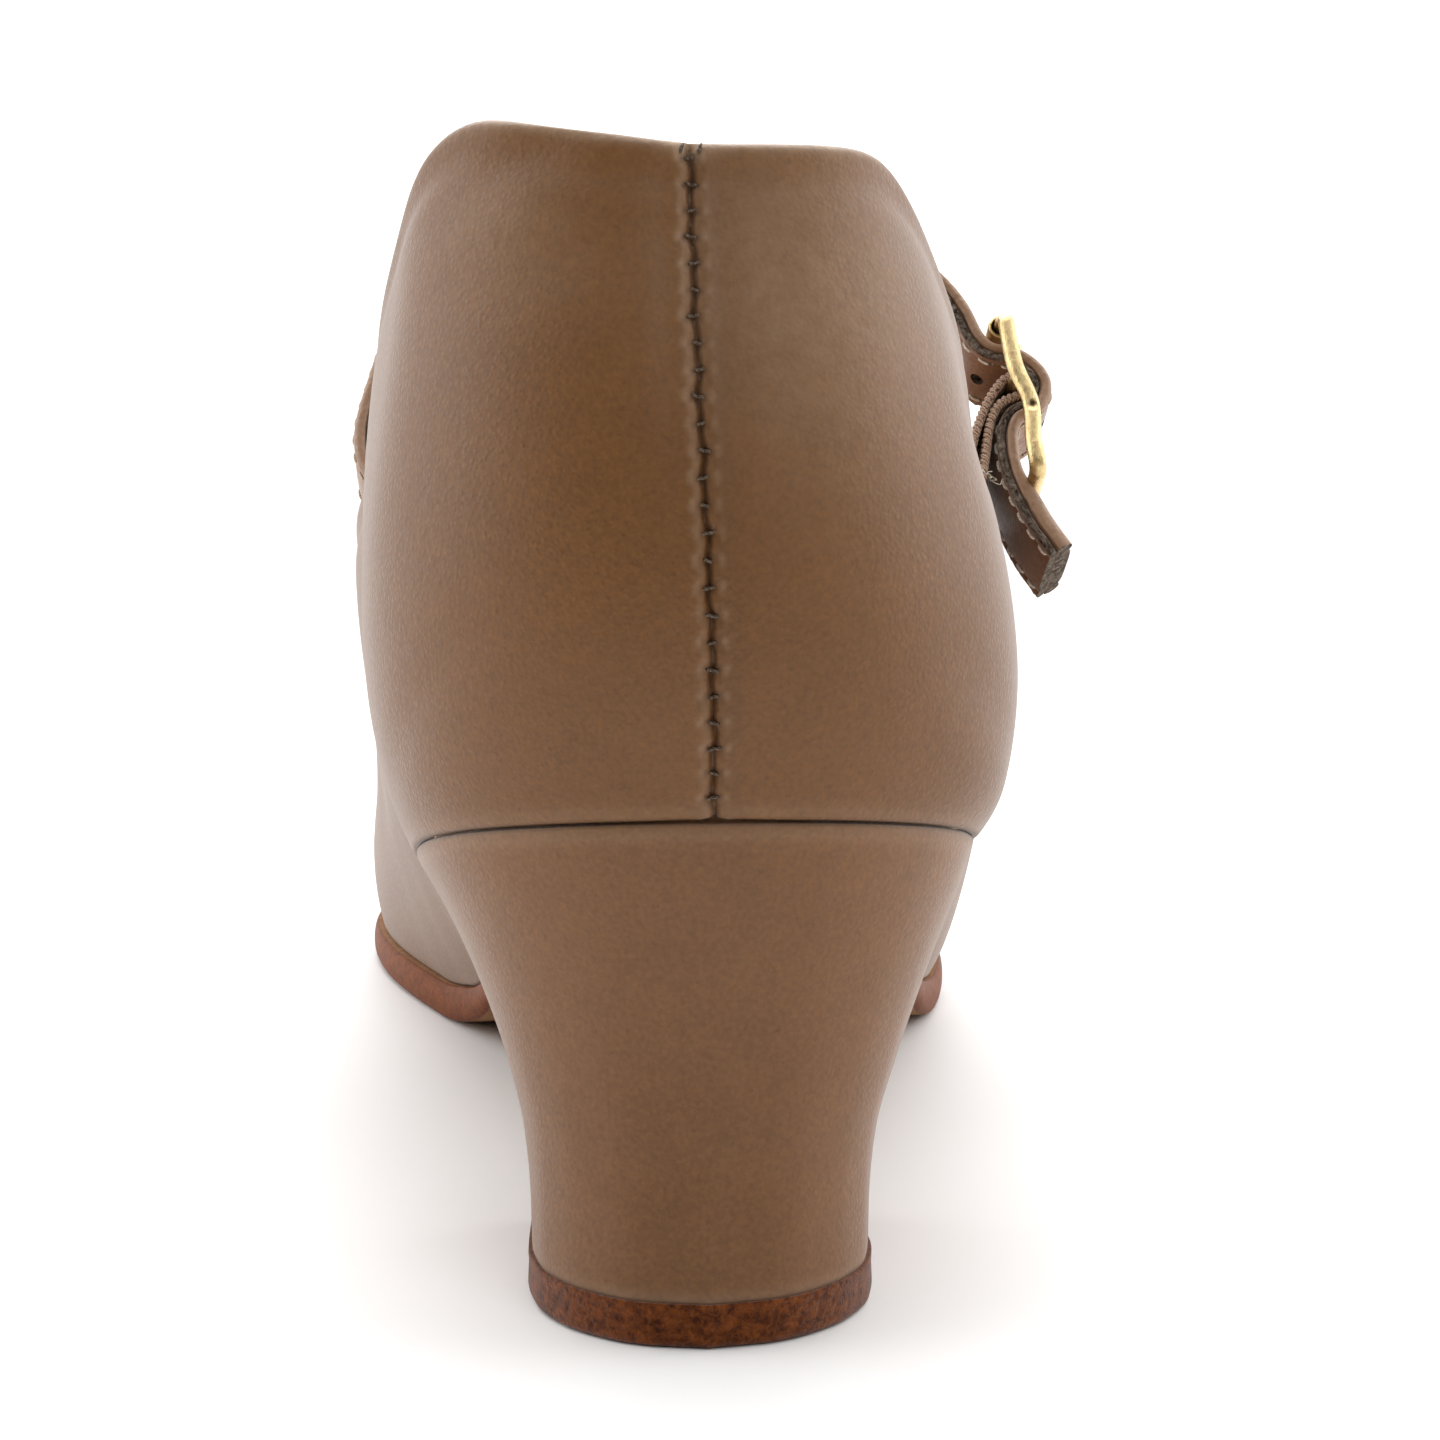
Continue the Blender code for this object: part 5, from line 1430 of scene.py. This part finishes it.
last_start = strap_gone[-1] - STITCH_LENGTH - STITCH_END_GAP
for name, lift, colours in STRAP_STITCHES:
    tubes = []
    for side in (-1, 1):
        for start in np.arange(STITCH_START, last_start, STITCH_PITCH):
            share = np.linspace(0.0, 1.0, STITCH_POINTS)
            where = start + share * STITCH_LENGTH
            bow = 1 - (2 * share - 1) ** 4 * STITCH_SINK
            arch = lift + math.copysign(STITCH_ARCH, lift) * bow
            centre = (read_path(where, strap_gone, strap_path)
                      + read_path(where, strap_gone, strap_out) * arch[:, None])
            tubes.append(tube_rows(strap_point(centre[:, 0], centre[:, 1], side * STITCH_FROM_MIDDLE),
                                   STITCH_RADIUS, SEWN_THREAD_SIDES))
    points, faces = joined_tubes(tubes)
    new_piece(name, points, faces, [spun_thread(name + "_thread", *colours)])


# Elastic
# A flat ribbed elastic folded double round the buckle's middle bar, both ends sewn inside the
# outer quarter. It gives the strap its stretch, and loose white threads show at its stitching.
ELASTIC_HALF = 4.5
ELASTIC_ROUTE = (
    (32.4, -10.0), (33.2, -2.0), (34.5, 4.0), (35.9, 9.0), (37.6, 13.4), (39.5, 16.6),
    (41.0, 17.8), (42.4, 17.1), (42.5, 15.8), (41.3, 15.0), (39.7, 14.2),
    (38.2, 11.8), (37.5, 9.0), (36.5, 4.2), (34.8, -2.0), (33.6, -10.0),
)
ELASTIC_SAMPLES = 300
ELASTIC_LIFT = 0.36
ELASTIC_RIB = 1.05
ELASTIC_TWIST = 0.85
ELASTIC_RELIEF = 0.17
ELASTIC_COLOUR = (0.34, 0.21, 0.135)
# Painted shade, darker in the furrows of the knit
ELASTIC_FURROW_SHADE = (0.12, 0.066, 0.040)
# Yarn of the corded edges: the paler colour is a painted highlight on its crests
ELASTIC_YARN = (0.52, 0.35, 0.245)
ELASTIC_DEEP_YARN = (0.20, 0.115, 0.075)
ELASTIC_POINTS_ACROSS = 72
ELASTIC_EDGE_POWER = 8
CORD_LEAST = 0.55
CORD_SLANT = 1.2
KNIT_STRETCH = 0.035
KNIT_GAIN = 1.1
ELASTIC_ROUGHNESS = 0.82
ELASTIC_SHEEN = 0.25
YARN_SIZE = 0.00022
YARN_TONES = (0.8, 1.15)
YARN_BUMP = 0.00008

elastic_path, elastic_out, elastic_gone = smooth_route(ELASTIC_ROUTE, ELASTIC_SAMPLES)
across_band = np.linspace(-1.0, 1.0, ELASTIC_POINTS_ACROSS)
band_lift = np.sqrt(np.clip(1 - across_band ** ELASTIC_EDGE_POWER, 0, 1))
upper_side = np.stack([band_lift, across_band], axis=1)
lower_side = upper_side[::-1] * np.array([-1.0, 1.0])
elastic_section = np.concatenate([upper_side, lower_side[1:-1]])
elastic_sideways = np.tile(elastic_section[:, 1] * ELASTIC_HALF, (ELASTIC_SAMPLES, 1))
rib = elastic_sideways / ELASTIC_RIB
rib_swell = np.abs(np.cos(math.pi * rib))
twist = elastic_gone[:, None] / ELASTIC_TWIST + np.round(rib) * 0.5
slant = CORD_SLANT * (rib - np.round(rib))
cord_swell = CORD_LEAST + (1 - CORD_LEAST) * np.abs(np.sin(math.pi * twist + slant))
knit = rib_swell * cord_swell
elastic_lift = elastic_section[:, 0] * (ELASTIC_LIFT + ELASTIC_RELIEF * knit)
elastic_sideways = elastic_sideways * (1 + KNIT_STRETCH * (knit - 0.5))
elastic_material, elastic_tree, elastic_shader = new_material("ribbed_elastic", ELASTIC_ROUGHNESS)
knit_mask = read_mask(elastic_tree, "knit")
yarn = noise(elastic_tree, scaled_place(elastic_tree, YARN_SIZE))
elastic_tone = remap(elastic_tree, yarn, 0.3, 0.7, *YARN_TONES)
# Painted shade: the knit mask darkens the colour where the knit sinks into its furrows
feed(elastic_tree, elastic_shader.inputs["Base Color"],
     tinted(elastic_tree, mix_colours(elastic_tree, knit_mask, ELASTIC_FURROW_SHADE, ELASTIC_COLOUR),
            elastic_tone))
feed(elastic_tree, elastic_shader.inputs["Sheen Weight"], ELASTIC_SHEEN)
add_bump(elastic_tree, elastic_shader, yarn, YARN_BUMP)
elastic_rings = band_points(elastic_path, elastic_out, elastic_lift, elastic_sideways)
elastic = closed_band("elastic_loop_knit", elastic_rings, [elastic_material], "elastic")
set_mask(elastic, "knit", np.clip(knit * KNIT_GAIN, 0, 1))
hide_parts("elastic_loop")

# The elastic's corded edges, twisted from two yarns, and the loose ends of its stitching
CORD_EDGE = 4.35
CORD_STRAND = 0.33
CORD_SPIRAL = 0.27
CORD_PITCH = 1.45
CORD_SAMPLES = 620
CORD_SIDES = 8
LOOSE_THREADS = 7
LOOSE_PLACE = (36.3, 4.6, -5.0)
LOOSE_SPREAD = 0.45
LOOSE_STEP = 0.32
LOOSE_SHAPE = (1.2, 1.0, 0.6)
LOOSE_BENDS = 7
LOOSE_SAMPLES = 25
LOOSE_RADIUS = 0.055
LOOSE_SIDES = 6
LOOSE_SEED = 11

cord_tubes = []
cord_path, cord_out, cord_gone = smooth_route(ELASTIC_ROUTE, CORD_SAMPLES)
for side in (-1, 1):
    for phase in (0.0, math.pi):
        spiral = 2 * math.pi * cord_gone / CORD_PITCH + phase
        centre = cord_path + cord_out * (CORD_SPIRAL * np.cos(spiral))[:, None]
        where = side * CORD_EDGE + CORD_SPIRAL * np.sin(spiral)
        cord_tubes.append(tube_rows(strap_point(centre[:, 0], centre[:, 1], where),
                                    CORD_STRAND, CORD_SIDES))
cord_points, cord_faces = joined_tubes(cord_tubes)
new_piece("elastic_edge_cords", cord_points, cord_faces,
          [spun_thread("elastic_yarn", ELASTIC_DEEP_YARN, ELASTIC_YARN)], slot="elastic")
loose = np.random.default_rng(LOOSE_SEED)
loose_tubes = []
for _ in range(LOOSE_THREADS):
    start = np.array(LOOSE_PLACE) + loose.normal(0.0, LOOSE_SPREAD, 3)
    steps = loose.normal(0.0, LOOSE_STEP, (LOOSE_BENDS, 3)) * np.array(LOOSE_SHAPE)
    bends = np.arange(float(LOOSE_BENDS))
    loose_path = start + spline(bends, np.cumsum(steps, axis=0),
                                np.linspace(0.0, bends[-1], LOOSE_SAMPLES), closed=False)
    loose_tubes.append(tube_rows(strap_point(*loose_path.T), LOOSE_RADIUS, LOOSE_SIDES))
loose_points, loose_faces = joined_tubes(loose_tubes)
new_piece("elastic_loose_threads", loose_points, loose_faces,
          [spun_thread("loose_thread", *LINING_THREAD)])


# Buckle
# A small bowed wire frame in pale gold plate with a roller on its top bar, a middle bar that
# the elastic is folded round, and a prong that reaches through the strap onto the roller.
BUCKLE_SIDE = (
    (40.5, 24.5), (40.7, 20.0), (41.2, 16.4), (42.3, 12.4), (42.3, 9.0), (42.2, 6.0), (42.5, 3.2),
)
BUCKLE_HALF_WIDTH = 7.4
BUCKLE_WIRE_RADIUS = 0.88
WIRE_ACROSS = 1.12
WIRE_ALONG = 0.92
WIRE_SIDES = 36
BUCKLE_CORNER = 1.6
BUCKLE_SAMPLES = 150
END_SAMPLES = 6
CORNER_STEPS = 9
BAR_STEPS = 14
MIDDLE_BAR = (41.2, 16.4)
MIDDLE_BAR_RADIUS = 0.7
MIDDLE_BAR_STEPS = 9
MIDDLE_BAR_SIDES = 16
ROLLER_RADII = (1.3, 1.65)
ROLLER_LENGTH = 10.4
ROLLER_LIP = 0.1
ROLLER_ROUND = 0.25
ROLLER_SIDES = 40
PRONG_RING_RADII = (1.0, 1.6)
PRONG_RING_LENGTH = 1.8
PRONG_RING_ROUND = 0.2
PRONG_RING_SIDES = 32
PRONG_RADIUS = 0.55
PRONG_END = 0.55
PRONG_SIDES = 14
PRONG_SAMPLES = 24
PRONG_ROUTE = ((42.2, 17.4), (42.7, 19.5), (43.2, 22.2), (43.2, 25.6))
GOLD = (0.67, 0.51, 0.26)
GOLD_DEEP = (0.34, 0.23, 0.10)
GOLD_TARNISH = (0.045, 0.028, 0.014)
GOLD_ROUGHNESS = 0.30
GOLD_DENT_SIZE = 0.0014
GOLD_DENT_SHARE = 0.40
GOLD_SCRATCH_SIZE = 0.0004
GOLD_SCRATCH_STRETCH = (3.0, 0.5, 0.5)
GOLD_SCRATCH_HEIGHT = 0.35
GOLD_BUMP = 0.00014
BUCKLE_DENT = (42.4, 11.9, -7.4)
BUCKLE_DENT_DEPTH = 0.45
BUCKLE_DENT_WIDTH = 0.52
TARNISH_GAIN = 1.6
TARNISH_FROM = 0.3


def worn_gold(name, roughness):
    """Pale gold plate over cast metal: fine scratches and a duller tone in its hollows."""
    material, tree, shader = new_material(name, roughness, 1.0)
    dents = noise(tree, scaled_place(tree, GOLD_DENT_SIZE), detail=4.0, roughness=0.6)
    spread = add_node(tree, "VectorMath", operation="MULTIPLY")
    feed(tree, spread.inputs[0], scaled_place(tree, GOLD_SCRATCH_SIZE))
    feed(tree, spread.inputs[1], GOLD_SCRATCH_STRETCH)
    scratches = noise(tree, spread.outputs[0], detail=3.0, roughness=0.7)
    plate = mix_colours(tree, remap(tree, dents, 0.42, 0.66, 0.0, GOLD_DENT_SHARE), GOLD, GOLD_DEEP)
    feed(tree, shader.inputs["Base Color"],
         mix_colours(tree, read_mask(tree, "tarnish"), plate, GOLD_TARNISH))
    feed(tree, shader.inputs["Roughness"],
         remap(tree, scratches, 0.3, 0.7, roughness - 0.06, roughness + 0.12))
    height = calculate(tree, "MULTIPLY_ADD", scratches, GOLD_SCRATCH_HEIGHT, dents)
    add_bump(tree, shader, height, GOLD_BUMP)
    return material


def closed_tube(path, radii, sides):
    """Rings round a closed path, with one radius across the strap's plane and one along it."""
    run = np.roll(path, -1, axis=0) - np.roll(path, 1, axis=0)
    run = run / np.linalg.norm(run, axis=1)[:, None]
    facing = np.array([1.0, 0.0, 0.0])
    first = facing - run * (run @ facing)[:, None]
    first = first / np.linalg.norm(first, axis=1)[:, None]
    second = np.cross(run, first)
    turn = np.linspace(0.0, 2 * math.pi, sides, endpoint=False)
    ring = (np.cos(turn)[None, :, None] * first[:, None] * radii[0]
            + np.sin(turn)[None, :, None] * second[:, None] * radii[1])
    return path[:, None] + ring


def turned_rings(centre, profile, sides):
    """A small turned piece whose axis runs sideways across the strap."""
    rings = []
    for angle in np.linspace(0.0, 2 * math.pi, sides, endpoint=False):
        rings.append([strap_point(centre[0] + radius * math.cos(angle),
                                  centre[1] + radius * math.sin(angle), side)
                      for radius, side in profile])
    return np.array(rings)


gold_plate = worn_gold("gold_plate", GOLD_ROUGHNESS)
side_path, _, side_gone = smooth_route(BUCKLE_SIDE, BUCKLE_SAMPLES)
reach = BUCKLE_HALF_WIDTH - BUCKLE_CORNER


def side_rail(sideways):
    """One side of the frame, from its top corner to its foot corner."""
    rail = []
    for gone, (across, up_strap) in zip(side_gone, side_path):
        if min(gone, side_gone[-1] - gone) > BUCKLE_CORNER:
            rail.append(strap_point(across, up_strap, sideways))
    return rail


def bar_corner(end, inward, toward):
    """Quarter round from a side rail into a bar, on one side of the frame."""
    corner = []
    for angle in np.linspace(0.0, math.pi / 2, CORNER_STEPS):
        rise = BUCKLE_CORNER * (1 - math.sin(angle))
        place = end + inward * rise
        corner.append(strap_point(place[0], place[1],
                                  toward * (reach + BUCKLE_CORNER * math.cos(angle))))
    return corner


top_end, foot_end = side_path[0], side_path[-1]
top_inward = side_path[END_SAMPLES] - top_end
top_inward = top_inward / np.linalg.norm(top_inward)
foot_inward = side_path[-1 - END_SAMPLES] - foot_end
foot_inward = foot_inward / np.linalg.norm(foot_inward)
bar_steps = np.linspace(-reach, reach, BAR_STEPS)[1:-1]
foot_bar = [strap_point(foot_end[0], foot_end[1], step) for step in bar_steps]
top_bar = [strap_point(top_end[0], top_end[1], -step) for step in bar_steps]
frame_path = np.array(side_rail(-BUCKLE_HALF_WIDTH)
                      + bar_corner(foot_end, foot_inward, -1) + foot_bar
                      + bar_corner(foot_end, foot_inward, 1)[::-1]
                      + side_rail(BUCKLE_HALF_WIDTH)[::-1]
                      + bar_corner(top_end, top_inward, 1) + top_bar
                      + bar_corner(top_end, top_inward, -1)[::-1])
wire_radii = (BUCKLE_WIRE_RADIUS * WIRE_ACROSS, BUCKLE_WIRE_RADIUS * WIRE_ALONG)
frame_rings = closed_tube(frame_path, wire_radii, WIRE_SIDES)
dent_place = strap_point(*BUCKLE_DENT)
from_dent = np.linalg.norm((frame_rings - dent_place) * np.array([1.0, 0.0, 1.0]), axis=2)
facing_back = frame_rings[:, :, 1] < dent_place[1]
dent = bell(from_dent, BUCKLE_DENT_WIDTH) * facing_back
frame_rings[:, :, 1] += BUCKLE_DENT_DEPTH * dent
frame_points = frame_rings.reshape(-1, 3)
frame_faces = grid_faces(*frame_rings.shape[0:2], True, True)
bar_places = np.linspace(-BUCKLE_HALF_WIDTH, BUCKLE_HALF_WIDTH, MIDDLE_BAR_STEPS)
middle_bar = tube_rows([strap_point(*MIDDLE_BAR, place) for place in bar_places],
                       MIDDLE_BAR_RADIUS, MIDDLE_BAR_SIDES, ends=1.0)
bar_points, bar_faces = joined_tubes([middle_bar])
buckle_frame = new_piece("buckle_frame_wire", frame_points, frame_faces, [gold_plate], slot="gold")
set_mask(buckle_frame, "tarnish", np.clip(TARNISH_GAIN * dent - TARNISH_FROM, 0, 1))
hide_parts("buckle_frame")
new_piece("buckle_middle_bar", bar_points, bar_faces, [gold_plate], slot="gold")

roller_half = ROLLER_LENGTH / 2
roller_profile = [(ROLLER_RADII[0], -roller_half + ROLLER_LIP),
                  (ROLLER_RADII[0] + ROLLER_LIP, -roller_half)]
for angle in np.linspace(0.2, math.pi / 2, 5):
    radius = ROLLER_RADII[1] - ROLLER_ROUND + ROLLER_ROUND * math.sin(angle)
    roller_profile.append((radius, -roller_half + ROLLER_ROUND - ROLLER_ROUND * math.cos(angle)))
roller_profile += [(radius, -side) for radius, side in reversed(roller_profile)]
roller_rings = turned_rings(BUCKLE_SIDE[0], roller_profile, ROLLER_SIDES)
roller = new_piece("buckle_roller_tube", roller_rings,
                   grid_faces(*roller_rings.shape[0:2], True, True), [gold_plate], slot="gold")
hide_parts("buckle_roller")

ring_half = PRONG_RING_LENGTH / 2
bore, rim = PRONG_RING_RADII
ring_profile = [(bore, -ring_half), (rim - PRONG_RING_ROUND, -ring_half),
                (rim, -ring_half + PRONG_RING_ROUND)]
ring_profile += [(radius, -side) for radius, side in reversed(ring_profile)]
prong_eye = turned_rings(MIDDLE_BAR, ring_profile, PRONG_RING_SIDES)
prong_path = smooth_route(PRONG_ROUTE, PRONG_SAMPLES)[0]
prong_pin = tube_rows([strap_point(across, up_strap, 0.0) for across, up_strap in prong_path],
                      PRONG_RADIUS, PRONG_SIDES, ends=PRONG_END)
eye = new_piece("buckle_prong_eye", prong_eye, grid_faces(*prong_eye.shape[0:2], True, True),
                [gold_plate], slot="gold")
pin_points, pin_faces = joined_tubes([prong_pin])
new_piece("buckle_prong_pin", pin_points, pin_faces, [gold_plate], slot="gold")
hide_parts("buckle_prong")
